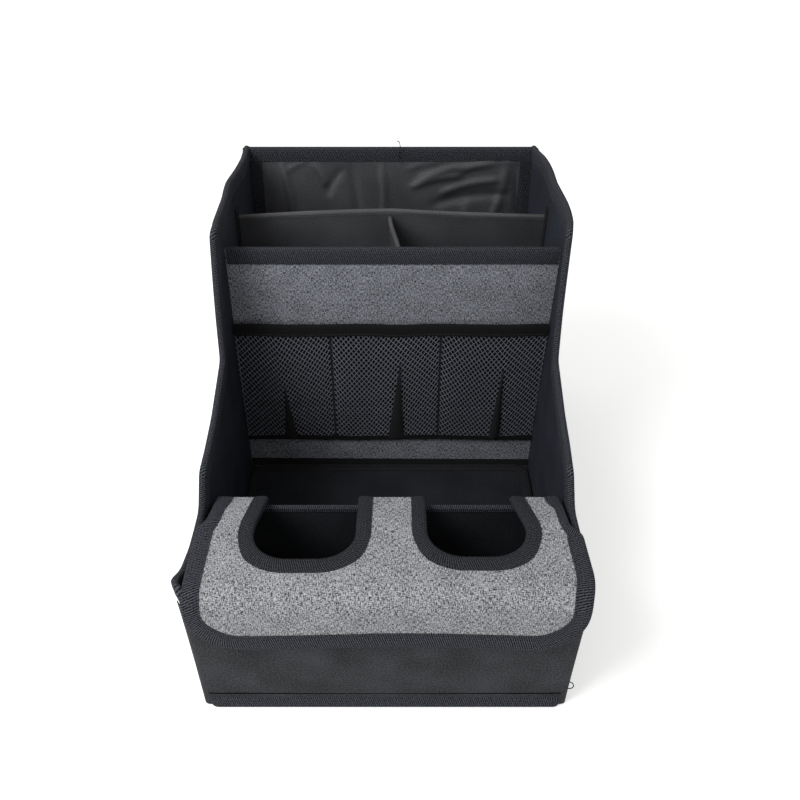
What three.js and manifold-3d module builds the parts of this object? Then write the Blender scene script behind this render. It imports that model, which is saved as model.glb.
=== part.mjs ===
// Back seat organizer: a sewn, board-stiffened box with a tall divided rear, an open well in the middle
// and a low front box under a hinged lid that has two cup openings.
// Millimetres, +Z up, the front faces -Y. The origin is the centre of the underside.

import * as THREE from 'three';
import { mergeVertices } from 'three/addons/utils/BufferGeometryUtils.js';
import Module from 'manifold-3d';

const wasm = await Module();
wasm.setup();

// Overall sizes
const base_width = 260;
const body_depth = 404;
const tall_height = 260;
const side_lean = 0.023; // how far the side walls spread for each mm of height

// Cloths, boards and tapes
const cloth = 0.8;
const board = 1.6;
const lining = 0.6;
const heather = 1.0;
const lid_board = 1.5;
const tape = 0.6;
const tape_width = 12;
const hem_width = 4;
const layer_gap = 0.3;
const wall_build = cloth + board + lining + 2 * layer_gap;
const fold_build = tape + layer_gap; // what a folded tape adds to each side of the edge it binds

// Side wall outline, walked from the front over the top to the back
const front_rim = 113;
const rim_corner_radius = 6;
const step_foot = 80;
const step_head = 97;
const step_head_height = 135.5;
const slope_middle = 150;
const slope_middle_height = 146.5;
const waist = 200;
const waist_height = 162;
const tall_front = 227;
const step_radius = 12;
const slope_radius = 80;
const waist_radius = 9;
const tall_corner_radius = 8;

// Front wall and the foot of the box
const front_wall_drop = 5.6; // how far its cloth ends below the side rims
const foot_binding_height = 13;
const foot_binding_build = 2.4;
const foot_lift = 0.4;
const foot_corner_radius = 4;

// Inner walls
const divider_build = 2.2;
const cup_wall_place = 95;
const cup_wall_height = 104;
const pocket_panel_place = 253;
const pocket_panel_drop = 28; // how far its top lies below the tall rim
const panel_binding_width = 14;
const cross_divider_place = 330;
const cross_divider_drop = 30;
const centre_divider_drop = 34;

// Mesh pocket
const mesh_foot = 40;
const mesh_top = 158;
const mesh_build = 0.9;
const mesh_stand = 9; // how far the pocket's top stands off the panel
const mesh_columns = 15;
const mesh_rows = 8;
const mesh_hole_share = 0.62;
const mesh_border = 7;
const mesh_binding_width = 9;
const pleat_places = [-95, -50, 4, 44, 96];
const pleat_width = 3;
const pleat_build = 1.2;

// Floor board of the well
const floor_board_build = 2.2;
const floor_tape_width = 9;

// Lid
const lid_overhang = 1.5; // past the side walls' foot, where it lies over them
const lid_side_play = 0.5; // between the side walls' folded tapes, where it lies between them
const lid_taper_start = 48;
const lid_taper_end = 56;
const lid_slope_start = 62;
const lid_slope_radius = 40;
const lid_hem_height = 72;
const lid_hem_radius = 34;
const lid_seat_gap = 0.3;
const lid_rear_gap = 0.5;
const lid_rear_overlap = 0.3;
const cup_spacing = 119;
const cup_opening_half = 34.5;
const cup_opening_front = 31;
const cup_corner_radius = 22;

// Half of the box's outer width at a height.
function halfWidth(height) {
  return base_width / 2 + side_lean * height;
}

// Values that follow from the sizes above
const half_depth = body_depth / 2;
const front_wall_height = front_rim - front_wall_drop;
const pocket_panel_height = tall_height - pocket_panel_drop;
const cross_divider_height = tall_height - cross_divider_drop;
const centre_divider_height = tall_height - centre_divider_drop;
const inner_floor = wall_build + layer_gap;
const lid_build = heather + lid_board + lining + 2 * layer_gap;
const lid_full_build = lid_build + 2 * fold_build;
const curve_steps = 6;
const clear_past = 20; // how far a cutting solid runs past what it cuts
const lid_wide_half = base_width / 2 + lid_overhang;
const lid_narrow_half = halfWidth(cup_wall_height) - wall_build - 2 * fold_build - lid_side_play;
const back_place = body_depth - wall_build;
const back_binding_front = back_place - fold_build - layer_gap;
const front_binding_top = front_wall_height + fold_build + layer_gap;

const finishes = {
  oxford: { color: 0x26272b, roughness: 0.85 },
  lining: { color: 0x3a3b3f, roughness: 0.6 },
  board: { color: 0x8a8a86, roughness: 0.7 },
  tape: { color: 0x1b1c1f, roughness: 0.9 },
  heather_light: { color: 0x94969c, roughness: 0.95 },
  heather_dark: { color: 0x5e6068, roughness: 0.95 },
  net: { color: 0x121316, roughness: 0.8 },
};

const organizer = new THREE.Group();
organizer.position.y = -half_depth;

// Adds one named piece with a material of its own.
function addPiece(name, geometry, finish) {
  const { color, roughness } = finishes[finish];
  const mesh = new THREE.Mesh(geometry, new THREE.MeshStandardMaterial({ color, roughness, metalness: 0 }));
  mesh.name = name;
  organizer.add(mesh);
}

// Turns a closed three.js geometry into a solid for cutting, and back.
function solidFrom(geometry) {
  const bare = geometry.clone();
  bare.deleteAttribute('normal');
  bare.deleteAttribute('uv');
  const merged = mergeVertices(bare, 1e-4);
  return new wasm.Manifold(new wasm.Mesh({
    numProp: 3,
    vertProperties: new Float32Array(merged.attributes.position.array),
    triVerts: new Uint32Array(merged.index.array),
  }));
}

function geometryFrom(solid) {
  const mesh = solid.getMesh();
  const geometry = new THREE.BufferGeometry();
  geometry.setAttribute('position', new THREE.BufferAttribute(mesh.vertProperties, 3));
  geometry.setIndex(new THREE.BufferAttribute(mesh.triVerts, 1));
  geometry.computeVertexNormals();
  return geometry;
}

// Gives an outline a thickness. The three helpers after it lay the plate down across one axis each.
function plate(points, build, holes = []) {
  const shape = new THREE.Shape(points);
  shape.holes = holes.map((hole) => new THREE.Path(hole));
  return new THREE.ExtrudeGeometry(shape, { depth: build, bevelEnabled: false });
}

// The outline is drawn in Y and Z and runs along X from x.
function plateAlongX(points, x, build) {
  const turn = new THREE.Matrix4().set(0, 0, 1, x, 1, 0, 0, 0, 0, 1, 0, 0, 0, 0, 0, 1);
  return plate(points, build).applyMatrix4(turn);
}

// The outline is drawn in X and Z and runs along Y from y.
function plateAlongY(points, y, build, holes = []) {
  return plate(points, build, holes).rotateX(Math.PI / 2).translate(0, y + build, 0);
}

// The outline is drawn in X and Y and runs up from z.
function plateAlongZ(points, z, build, holes = []) {
  return plate(points, build, holes).translate(0, 0, z);
}

// A chain of straight runs with a rounded corner between them, moved inwards by inset.
// Walked from the front, the inside lies on the right, so a right turn is rounder outside than inside.
function roundedChain(corners, inset) {
  const runs = [];
  for (let i = 0; i + 1 < corners.length; i += 1) {
    const along = corners[i + 1].at.clone().sub(corners[i].at).normalize();
    const inwards = new THREE.Vector2(along.y, -along.x).multiplyScalar(inset);
    const start = corners[i].at.clone().add(inwards);
    const end = corners[i + 1].at.clone().add(inwards);
    runs.push({ along, start, end });
  }
  const points = [runs[0].start];
  for (let i = 0; i + 1 < runs.length; i += 1) {
    const [before, after] = [runs[i], runs[i + 1]];
    const turn = before.along.cross(after.along);
    const apart = after.start.clone().sub(before.start);
    const corner = before.start.clone().addScaledVector(before.along, apart.cross(after.along) / turn);
    const bend = Math.atan2(Math.abs(turn), before.along.dot(after.along));
    const radius = Math.max(corners[i + 1].radius + Math.sign(turn) * inset, 0.5);
    const reach = radius * Math.tan(bend / 2);
    const from = corner.clone().addScaledVector(before.along, -reach);
    const side = new THREE.Vector2(-before.along.y, before.along.x).multiplyScalar(Math.sign(turn) * radius);
    const centre = from.clone().add(side);
    for (let k = 0; k <= curve_steps; k += 1) {
      points.push(from.clone().rotateAround(centre, Math.sign(turn) * bend * k / curve_steps));
    }
  }
  points.push(runs[runs.length - 1].end);
  return points;
}

const corner = (y, z, radius = 0) => ({ at: new THREE.Vector2(y, z), radius });

// Side walls: cloth, board and lining of one outline, and a tape folded over the whole upper edge
function sideEdge(foot, inset = 0) {
  return roundedChain([
    corner(0, foot),
    corner(0, front_rim, rim_corner_radius),
    corner(step_foot, front_rim, step_radius),
    corner(step_head, step_head_height, step_radius),
    corner(slope_middle, slope_middle_height, slope_radius),
    corner(waist, waist_height, waist_radius),
    corner(tall_front, tall_height, tall_corner_radius),
    corner(body_depth, tall_height),
  ], inset);
}

// Stands a wall layer on the left (-1) or right (+1), its outer face a depth inside the leaning outer face.
function leanSide(outline, side, depth, build) {
  const x = side > 0 ? base_width / 2 - depth - build : -base_width / 2 + depth;
  const geometry = plateAlongX(outline, x, build);
  geometry.applyMatrix4(new THREE.Matrix4().makeShear(0, 0, 0, 0, side * side_lean, 0));
  return geometry;
}

function sideLayer(side, depth, build, foot) {
  const outline = [...sideEdge(foot), new THREE.Vector2(body_depth, foot)];
  return leanSide(outline, side, depth, build);
}

function sideBinding(side) {
  const foot = front_wall_height - hem_width;
  const wrap = [...sideEdge(foot, -fold_build), ...sideEdge(foot, tape_width).reverse()];
  const core = [...sideEdge(0, -layer_gap), new THREE.Vector2(body_depth, 0)];
  const outer = leanSide(wrap, side, -fold_build, wall_build + 2 * fold_build);
  const inner = leanSide(core, side, -layer_gap, wall_build + 2 * layer_gap);
  const beside_back = crossWall(back_binding_front, body_depth, foot, tall_height + clear_past, wall_build);
  const beside_front = crossWall(-clear_past, clear_past + tape_width, 0, front_binding_top, wall_build);
  return geometryFrom([inner, beside_back, beside_front].map(solidFrom).reduce(
    (left, taken) => left.subtract(taken),
    solidFrom(outer),
  ));
}

for (const [label, side] of [['left', -1], ['right', 1]]) {
  const foot = cloth + layer_gap;
  addPiece(`${label}_side_outer_cloth`, sideLayer(side, 0, cloth, foot), 'oxford');
  addPiece(`${label}_side_board`, sideLayer(side, cloth + layer_gap, board, foot), 'board');
  addPiece(`${label}_side_lining`, sideLayer(side, wall_build - lining, lining, foot), 'lining');
  addPiece(`${label}_side_edge_binding`, sideBinding(side), 'tape');
}

// Walls that cross the box between the leaning side walls
function crossWall(y, build, foot, top, inset = wall_build + layer_gap) {
  const low = halfWidth(foot) - inset;
  const high = halfWidth(top) - inset;
  const outline = [[-low, foot], [low, foot], [high, top], [-high, top]];
  return plateAlongY(outline.map(([x, z]) => new THREE.Vector2(x, z)), y, build);
}

// A tape folded over the top edge of a cross wall that is wall_build thick.
function topBinding(y, build, top, width, inset = wall_build + layer_gap) {
  const half = halfWidth(top - width) - inset;
  const outside = fold_build;
  const inside = layer_gap;
  const outline = [
    [y - outside, top - width], [y - inside, top - width], [y - inside, top + inside],
    [y + build + inside, top + inside], [y + build + inside, top - width],
    [y + build + outside, top - width], [y + build + outside, top + outside], [y - outside, top + outside],
  ];
  return plateAlongX(outline.map(([a, z]) => new THREE.Vector2(a, z)), -half, 2 * half);
}

const wall_foot = cloth + layer_gap;
const beside_binding = wall_build + fold_build + layer_gap;

addPiece('front_outer_cloth', crossWall(0, cloth, wall_foot, front_wall_height), 'oxford');
addPiece('front_board', crossWall(cloth + layer_gap, board, wall_foot, front_wall_height), 'board');
addPiece('front_lining', crossWall(wall_build - lining, lining, wall_foot, front_wall_height), 'lining');
addPiece(
  'front_top_binding',
  topBinding(0, wall_build, front_wall_height, tape_width, beside_binding),
  'tape',
);

const back_top = tall_height - fold_build;
addPiece('back_lining', crossWall(back_place, lining, wall_foot, back_top), 'lining');
addPiece('back_board', crossWall(back_place + lining + layer_gap, board, wall_foot, back_top), 'board');
addPiece('back_outer_cloth', crossWall(body_depth - cloth, cloth, wall_foot, back_top), 'oxford');
addPiece(
  'back_top_binding',
  topBinding(back_place, wall_build, back_top, tape_width, beside_binding),
  'tape',
);

// Base: an outer cloth under everything, a board and a lining between the walls, and the taped bottom seam
function rectangle(half_x, front, back) {
  return [[-half_x, front], [half_x, front], [half_x, back], [-half_x, back]]
    .map(([x, y]) => new THREE.Vector2(x, y));
}

function roundedRectangle(half_x, front, back, radius) {
  const outline = new THREE.Path();
  outline.absarc(-half_x + radius, front + radius, radius, Math.PI, 1.5 * Math.PI);
  outline.absarc(half_x - radius, front + radius, radius, 1.5 * Math.PI, 2 * Math.PI);
  outline.absarc(half_x - radius, back - radius, radius, 0, 0.5 * Math.PI);
  outline.absarc(-half_x + radius, back - radius, radius, 0.5 * Math.PI, Math.PI);
  return outline.getPoints(curve_steps);
}

const base_inset = wall_build + layer_gap;
const inside_base = rectangle(base_width / 2 - base_inset, base_inset, body_depth - base_inset);
addPiece('base_outer_cloth', plateAlongZ(rectangle(base_width / 2, 0, body_depth), 0, cloth), 'oxford');
addPiece('base_board', plateAlongZ(inside_base, cloth + layer_gap, board), 'board');
addPiece('base_lining', plateAlongZ(inside_base, wall_build - lining, lining), 'lining');

const foot_inner_half = halfWidth(foot_binding_height + foot_lift) + layer_gap;
const foot_outer = foot_binding_build + layer_gap;
const foot_half = foot_inner_half + foot_binding_build;
addPiece('base_binding', plateAlongZ(
  roundedRectangle(foot_half, -foot_outer, body_depth + foot_outer, foot_corner_radius),
  foot_lift,
  foot_binding_height,
  [rectangle(foot_inner_half, -layer_gap, body_depth + layer_gap)],
), 'tape');

// Tall front panel that carries the mesh pocket
const panel_board_place = pocket_panel_place + heather + layer_gap;
const panel_lining_place = panel_board_place + board + layer_gap;
const panel_build = heather + board + lining + 2 * layer_gap;
const panelLayer = (place, build) => crossWall(place, build, inner_floor, pocket_panel_height);
addPiece('pocket_panel_face', panelLayer(pocket_panel_place, heather), 'heather_dark');
addPiece('pocket_panel_board', panelLayer(panel_board_place, board), 'board');
addPiece('pocket_panel_lining', panelLayer(panel_lining_place, lining), 'lining');
addPiece(
  'pocket_panel_binding',
  topBinding(pocket_panel_place, panel_build, pocket_panel_height, panel_binding_width),
  'tape',
);

// Mesh pocket: a net sheet with rows of diamond gaps, leaning out from its foot, with stitched pleats
function diamond(x, z, half_x, half_z) {
  const tips = [[x - half_x, z], [x, z + half_z], [x + half_x, z], [x, z - half_z]];
  return tips.map(([a, b]) => new THREE.Vector2(a, b));
}

function meshPocket() {
  const height = mesh_top - mesh_foot;
  const low = halfWidth(mesh_foot) - wall_build - layer_gap;
  const high = halfWidth(mesh_top) - wall_build - layer_gap;
  const cell_x = (2 * low - 2 * mesh_border) / mesh_columns;
  const cell_z = (height - mesh_border - mesh_binding_width) / mesh_rows;
  const holes = [];
  for (let column = 0; column < mesh_columns; column += 1) {
    for (let row = 0; row < mesh_rows; row += 1) {
      const x = -low + mesh_border + (column + 0.5) * cell_x;
      const z = mesh_border + (row + 0.5) * cell_z;
      holes.push(diamond(x, z, mesh_hole_share * cell_x / 2, mesh_hole_share * cell_z / 2));
    }
  }
  const corners = [[-low, 0], [low, 0], [high, height], [-high, height]];
  const outline = corners.map(([x, z]) => new THREE.Vector2(x, z));
  let sheet = solidFrom(plateAlongY(outline, -mesh_build, mesh_build, holes));
  for (const place of pleat_places) {
    const ridge = rectangle(pleat_width / 2, mesh_border / 2, height - mesh_binding_width - layer_gap);
    const pleat = plateAlongY(ridge, -mesh_build - pleat_build, mesh_build + pleat_build);
    sheet = sheet.add(solidFrom(pleat.translate(place, 0, 0)));
  }
  const geometry = geometryFrom(sheet);
  geometry.applyMatrix4(meshLean());
  return geometry;
}

// Leans the pocket out from the panel: its foot stays in place and its top moves forward.
function meshLean() {
  const slope = mesh_stand / (mesh_top - mesh_foot);
  const lean = new THREE.Matrix4().makeShear(0, 0, 0, 0, 0, -slope);
  return new THREE.Matrix4().makeTranslation(0, pocket_panel_place - layer_gap, mesh_foot).multiply(lean);
}

function meshBinding() {
  const height = mesh_top - mesh_foot;
  const binding = topBinding(-mesh_build, mesh_build, height, mesh_binding_width);
  binding.applyMatrix4(meshLean());
  return binding;
}

addPiece('mesh_pocket', meshPocket(), 'net');
addPiece('mesh_pocket_binding', meshBinding(), 'tape');

// Dividers of the tall rear: one across it, and one from that to the panel in front
const cross_front = cross_divider_place - divider_build / 2;
addPiece('cross_divider', crossWall(cross_front, divider_build, inner_floor, cross_divider_height), 'lining');
const cross_divider_hem = topBinding(cross_front, divider_build, cross_divider_height, hem_width);
addPiece('cross_divider_hem', cross_divider_hem, 'tape');

function centreOutline(foot, top, front, back) {
  return [[front, foot], [back, foot], [back, top], [front, top]].map(([y, z]) => new THREE.Vector2(y, z));
}

const centre_front = pocket_panel_place + panel_build + fold_build + layer_gap;
const centre_back = cross_front - fold_build - layer_gap;
addPiece('centre_divider', plateAlongX(
  centreOutline(inner_floor, centre_divider_height, centre_front, centre_back),
  -divider_build / 2,
  divider_build,
), 'lining');

function centreHem() {
  const core = divider_build / 2 + layer_gap;
  const low = centre_divider_height - hem_width;
  const outer = plateAlongX(
    centreOutline(low, centre_divider_height + fold_build, centre_front, centre_back),
    -core - tape,
    2 * (core + tape),
  );
  const inner = plateAlongX(
    centreOutline(low - cloth, centre_divider_height + layer_gap, centre_front - cloth, centre_back + cloth),
    -core,
    2 * core,
  );
  return geometryFrom(solidFrom(outer).subtract(solidFrom(inner)));
}

addPiece('centre_divider_hem', centreHem(), 'tape');

// Wall behind the cups, which carries the lid on its upper hem
const cup_wall_front = cup_wall_place - divider_build / 2;
const cup_wall_top = cup_wall_height - fold_build;
addPiece('cup_wall', crossWall(cup_wall_front, divider_build, inner_floor, cup_wall_top), 'lining');
const cup_wall_hem = topBinding(cup_wall_front, divider_build, cup_wall_top, hem_width, beside_binding);
addPiece('cup_wall_hem', cup_wall_hem, 'tape');

// Floor board of the well, bound all round
const floor_board_half = base_width / 2 - wall_build - 2 * layer_gap - fold_build;
const floor_board_front = cup_wall_front + divider_build + layer_gap + fold_build;
const floor_board_back = pocket_panel_place - layer_gap - fold_build;
const floor_board_low = inner_floor + fold_build;
addPiece('floor_board', plateAlongZ(
  rectangle(floor_board_half, floor_board_front, floor_board_back),
  floor_board_low,
  floor_board_build,
), 'oxford');

function floorBinding() {
  const grown = (by) => rectangle(floor_board_half + by, floor_board_front - by, floor_board_back + by);
  const window = grown(fold_build - floor_tape_width);
  const bound = (by) => [grown(by), floor_board_low - by, floor_board_build + 2 * by];
  const outer = plateAlongZ(...bound(fold_build), [window]);
  const inner = plateAlongZ(...bound(layer_gap));
  return geometryFrom(solidFrom(outer).subtract(solidFrom(inner)));
}

addPiece('floor_board_binding', floorBinding(), 'tape');

// Lid: cloth, board and lining follow one bent surface, measured outwards from the underside of its binding
const lid_under = front_rim + fold_build + lid_seat_gap;
const lid_front = -fold_build - lid_seat_gap;
const lid_rear = cup_wall_front - fold_build + lid_rear_overlap;
const lid_rear_under = cup_wall_height + lid_rear_gap;

function lidRun(out, rear_extra) {
  const slope = new THREE.Vector2(lid_rear - lid_slope_start, lid_rear_under - lid_under).normalize();
  const rear = new THREE.Vector2(lid_rear, lid_rear_under).addScaledVector(slope, rear_extra);
  return roundedChain([
    corner(lid_front, lid_hem_height - clear_past),
    corner(lid_front, lid_under, rim_corner_radius + fold_build + lid_seat_gap),
    corner(lid_slope_start, lid_under, lid_slope_radius),
    corner(rear.x, rear.y),
  ], -out);
}

// Plan outline of the lid: wide over the side walls in front, narrow between them behind.
function lidPlan(grow, rear) {
  const wide = lid_wide_half + grow;
  const narrow = lid_narrow_half + grow;
  const front = lid_front - clear_past;
  const right = [[wide, front], [wide, lid_taper_start], [narrow, lid_taper_end], [narrow, rear]];
  const left = right.map(([x, y]) => [-x, y]).reverse();
  return [...right, ...left].map(([x, y]) => new THREE.Vector2(x, y));
}

// Front outline of the lid's hanging flap, with round lower corners.
function lidFront(grow) {
  const half = lid_wide_half + grow;
  const radius = lid_hem_radius + grow;
  const low = lid_hem_height - grow;
  const outline = new THREE.Path();
  outline.moveTo(half, lid_under + clear_past);
  outline.lineTo(-half, lid_under + clear_past);
  outline.absarc(-half + radius, low + radius, radius, Math.PI, 1.5 * Math.PI);
  outline.absarc(half - radius, low + radius, radius, 1.5 * Math.PI, 2 * Math.PI);
  return outline.getPoints(curve_steps);
}

// The part of the lid between two distances outwards from its underside, grown beyond its outline.
function lidShell(inner, outer, grow, rear_extra = 0) {
  const half = lid_wide_half + clear_past;
  const band = [...lidRun(inner, rear_extra), ...lidRun(outer, rear_extra).reverse()];
  const run = solidFrom(plateAlongX(band, -half, 2 * half));
  const plan = solidFrom(plateAlongZ(lidPlan(grow, lid_rear + clear_past), 0, lid_under + clear_past));
  const reach = lid_rear + 3 * clear_past;
  const front = solidFrom(plateAlongY(lidFront(grow), lid_front - clear_past, reach));
  return run.intersect(plan).intersect(front);
}

// Upright solid in the shape of one cup opening, grown outwards, open to the rear.
function cupColumn(side, grow) {
  const half = cup_opening_half + grow;
  const front = cup_opening_front - grow;
  const radius = cup_corner_radius + grow;
  const outline = new THREE.Path();
  outline.moveTo(half, lid_rear + clear_past);
  outline.lineTo(-half, lid_rear + clear_past);
  outline.absarc(-half + radius, front + radius, radius, Math.PI, 1.5 * Math.PI);
  outline.absarc(half - radius, front + radius, radius, 1.5 * Math.PI, 2 * Math.PI);
  const column = plateAlongZ(outline.getPoints(curve_steps), cup_wall_height - clear_past, 3 * clear_past);
  return solidFrom(column.translate(side * cup_spacing / 2, 0, 0));
}

function lidLayer(depth, build) {
  const outer = fold_build + lid_build - depth;
  let layer = lidShell(outer - build, outer, 0);
  for (const side of [-1, 1]) {
    layer = layer.subtract(cupColumn(side, fold_build));
  }
  return geometryFrom(layer);
}

function lidEdgeBinding() {
  const wrap = lidShell(0, lid_full_build, fold_build);
  const core = lidShell(tape, lid_full_build - tape, layer_gap, clear_past);
  const window = lidShell(-cloth, lid_full_build + cloth, fold_build - tape_width, clear_past);
  return geometryFrom(wrap.subtract(core).subtract(window));
}

function cupBinding(side) {
  const ring = cupColumn(side, tape_width).subtract(cupColumn(side, 0));
  const wrap = lidShell(0, lid_full_build, 0).intersect(ring);
  const core = lidShell(tape, lid_full_build - tape, 0, clear_past).subtract(cupColumn(side, tape));
  return geometryFrom(wrap.subtract(core));
}

addPiece('lid_cover', lidLayer(0, heather), 'heather_light');
addPiece('lid_board', lidLayer(heather + layer_gap, lid_board), 'board');
addPiece('lid_lining', lidLayer(lid_build - lining, lining), 'lining');
addPiece('lid_edge_binding', lidEdgeBinding(), 'tape');
addPiece('left_cup_binding', cupBinding(-1), 'tape');
addPiece('right_cup_binding', cupBinding(1), 'tape');

export default organizer;
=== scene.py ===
# %% [markdown]
# A back seat organizer is a sewn box: cloth outside, lining inside and a stiff board between them, with every
# raw edge folded into a woven tape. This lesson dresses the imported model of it. The frame gives the real sizes
# and places, so each cloth, tape and stitch below is worked out around them with numpy.

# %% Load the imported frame
import math

import bpy
import numpy as np
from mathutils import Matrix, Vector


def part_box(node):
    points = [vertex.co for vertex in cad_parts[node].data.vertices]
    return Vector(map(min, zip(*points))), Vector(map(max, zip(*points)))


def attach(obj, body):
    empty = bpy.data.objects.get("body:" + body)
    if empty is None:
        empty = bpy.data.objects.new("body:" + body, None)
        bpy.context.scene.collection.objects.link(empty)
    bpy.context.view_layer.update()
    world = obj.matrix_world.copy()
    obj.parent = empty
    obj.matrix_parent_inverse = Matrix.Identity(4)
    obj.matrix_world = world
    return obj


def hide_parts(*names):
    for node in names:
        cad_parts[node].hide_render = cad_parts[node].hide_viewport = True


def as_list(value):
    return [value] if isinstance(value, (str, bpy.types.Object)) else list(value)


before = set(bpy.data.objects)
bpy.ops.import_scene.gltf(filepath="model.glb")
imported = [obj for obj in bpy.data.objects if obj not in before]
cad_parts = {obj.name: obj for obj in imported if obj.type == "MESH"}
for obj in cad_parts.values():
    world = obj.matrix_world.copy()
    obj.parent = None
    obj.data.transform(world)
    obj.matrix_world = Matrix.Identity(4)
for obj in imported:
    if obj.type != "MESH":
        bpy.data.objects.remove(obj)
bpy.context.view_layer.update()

MM = 0.001


def node_box(name):
    """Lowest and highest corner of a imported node, in millimetres."""
    low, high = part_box(name)
    return np.array(low) / MM, np.array(high) / MM


base_low, base_high = node_box("base_outer_cloth")
side_high = node_box("right_side_outer_cloth")[1]
BASE_HALF = base_high[0]
DEPTH = base_high[1] - base_low[1]
TALL = side_high[2]
LEAN = (side_high[0] - BASE_HALF) / TALL
HANDS = ((-1, "left"), (1, "right"))
print(f"base {2 * BASE_HALF:.0f} x {DEPTH:.0f} mm, tall rim {TALL:.0f} mm, side lean {LEAN:.4f}")

# %% [markdown]
# The camera comes first. The photograph looks down on the front of the organizer from about seventy
# centimetres away. Its pitch and distance were worked out from how the width shrinks from front to back, which
# a long lens would not show, so the lens here is a normal one.

# %% Camera
CAMERA_SIDE = 8.5
CAMERA_BEFORE_FRONT = 359.0
CAMERA_HEIGHT = 540.5
CAMERA_PITCH = 36.8
FOCAL_PIXELS = 850.0
PHOTO_PIXELS = 800.0
SENSOR = 36.0

camera = bpy.data.objects.new("camera", bpy.data.cameras.new("camera"))
bpy.context.scene.collection.objects.link(camera)
camera.location = (CAMERA_SIDE * MM, (-DEPTH / 2 - CAMERA_BEFORE_FRONT) * MM, CAMERA_HEIGHT * MM)
camera.rotation_euler = (math.radians(90 - CAMERA_PITCH), 0, 0)
camera.data.sensor_width = SENSOR
camera.data.lens = FOCAL_PIXELS / PHOTO_PIXELS * SENSOR
camera.data.clip_start = 0.01
bpy.context.scene.camera = camera
print(f"lens {camera.data.lens:.1f} mm")

# %% [markdown]
# Every piece is a sheet with a thickness. A sheet is a grid of points worked out as one array, and a closed
# body is that sheet twice, front and back, with a rim of faces along its free edges. Solidify could do this,
# but here the two faces follow their own formulas, so layers that lie on each other never cross.

# %% Sheets and closed bodies
def unit(vectors):
    """Vectors divided by their lengths."""
    return vectors / np.linalg.norm(vectors, axis=-1, keepdims=True)


def grid_quads(rows, columns):
    """Faces of a grid of points stored row by row: each joins a point to its right, upper-right and upper."""
    index = np.arange(rows * columns).reshape(rows, columns)
    corners = (index[:-1, :-1], index[:-1, 1:], index[1:, 1:], index[1:, :-1])
    return np.stack(corners, axis=-1).reshape(-1, 4)


def weld(points, quads):
    """Joins points that share a place to a hundredth of a millimetre, and drops faces that fold to nothing."""
    _, first, back = np.unique(np.round(points, 2), axis=0, return_index=True, return_inverse=True)
    quads = back.reshape(-1)[quads]
    whole = (np.diff(np.sort(quads, axis=1), axis=1) != 0).all(axis=1)
    return first, quads[whole]


def free_edges(quads):
    """The edges that a single face uses, each in that face's own direction."""
    edges = np.concatenate([quads[:, [i, (i + 1) % 4]] for i in range(4)])
    _, first, count = np.unique(np.sort(edges, axis=1), axis=0, return_index=True, return_counts=True)
    return edges[first[count == 1]]


def volume(points, quads):
    """Signed volume: a sixth of the sum of every triangle's triple product."""
    a, b, c, d = (points[quads[:, i]] for i in range(4))
    return (np.einsum("ij,ij->", a, np.cross(b, c)) + np.einsum("ij,ij->", a, np.cross(c, d))) / 6


def thick_sheet(front, back, quads):
    """Closed body between two copies of one sheet: the copies, and a rim along their free edges."""
    count = len(front)
    edges = free_edges(quads)
    rim = np.column_stack([edges[:, 1], edges[:, 0], edges[:, 0] + count, edges[:, 1] + count])
    return np.concatenate([front, back]), np.concatenate([quads, quads[:, ::-1] + count, rim])


def place_mesh(name, points, faces, uv=None, sharp=40):
    """An object at the origin whose mesh holds the points, given in mm with Y measured from the front face."""
    mesh = bpy.data.meshes.new(name)
    mesh.from_pydata(((points - (0, DEPTH / 2, 0)) * MM).tolist(), [], faces.tolist())
    if uv is not None:
        layer = mesh.uv_layers.new(name="cloth")
        corner = np.empty(len(mesh.loops), dtype=np.int32)
        mesh.loops.foreach_get("vertex_index", corner)
        layer.data.foreach_set("uv", (uv[corner] * MM).astype(np.float32).ravel())
    mesh.polygons.foreach_set("use_smooth", np.ones(len(faces), dtype=bool))
    mesh.set_sharp_from_angle(angle=math.radians(sharp))
    mesh.update()
    obj = bpy.data.objects.new(name, mesh)
    bpy.context.scene.collection.objects.link(obj)
    return obj


pieces = {}


def add_piece(name, points, faces, finish, uv, body="carcass", slot=None, sharp=40):
    """Places one piece with its faces outwards, gives it its material and rides it on its body. A piece with
    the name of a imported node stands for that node."""
    if volume(points, faces) < 0:
        faces = faces[:, ::-1]
    piece = pieces[name] = place_mesh(name, points, faces, uv, sharp)
    piece.data.materials.append(finish.material)
    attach(piece, body)
    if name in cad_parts:
        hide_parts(name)
    slot or finish.slot


def add_sheet(name, surface, u, v, build, finish, plane=(0, 2), run=None, **said):
    """A closed sheet over the grid of u and v, between the two depths of its build. A whole number for u or v
    means so many even shares from 0 to 1. The pattern lies in the given plane, or along a run of u."""
    u, v = (np.linspace(0, 1, part) if isinstance(part, int) else part for part in (u, v))
    flat_v, flat_u = (part.ravel() for part in np.meshgrid(v, u, indexing="ij"))
    front, back = (surface(flat_u, flat_v, depth) for depth in build)
    uv = front[:, plane]
    if run:
        uv[:, 0] = flat_u * run
    points, faces = thick_sheet(front, back, grid_quads(len(v), len(u)))
    add_piece(name, points, faces, finish, np.tile(uv, (2, 1)), **said)


def smooth(value):
    """Smooth step: three times the square less twice the cube of the value held between 0 and 1."""
    held = np.clip(value, 0, 1)
    return held * held * (3 - 2 * held)


# %% [markdown]
# Materials are written as sums. A small class wraps a node socket, so that adding or multiplying two of them
# makes the Math node, and one method makes every other node. The cloths read their own UV map, which is laid
# out in metres along the cloth, so the weave keeps its real size and follows each fold.

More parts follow.
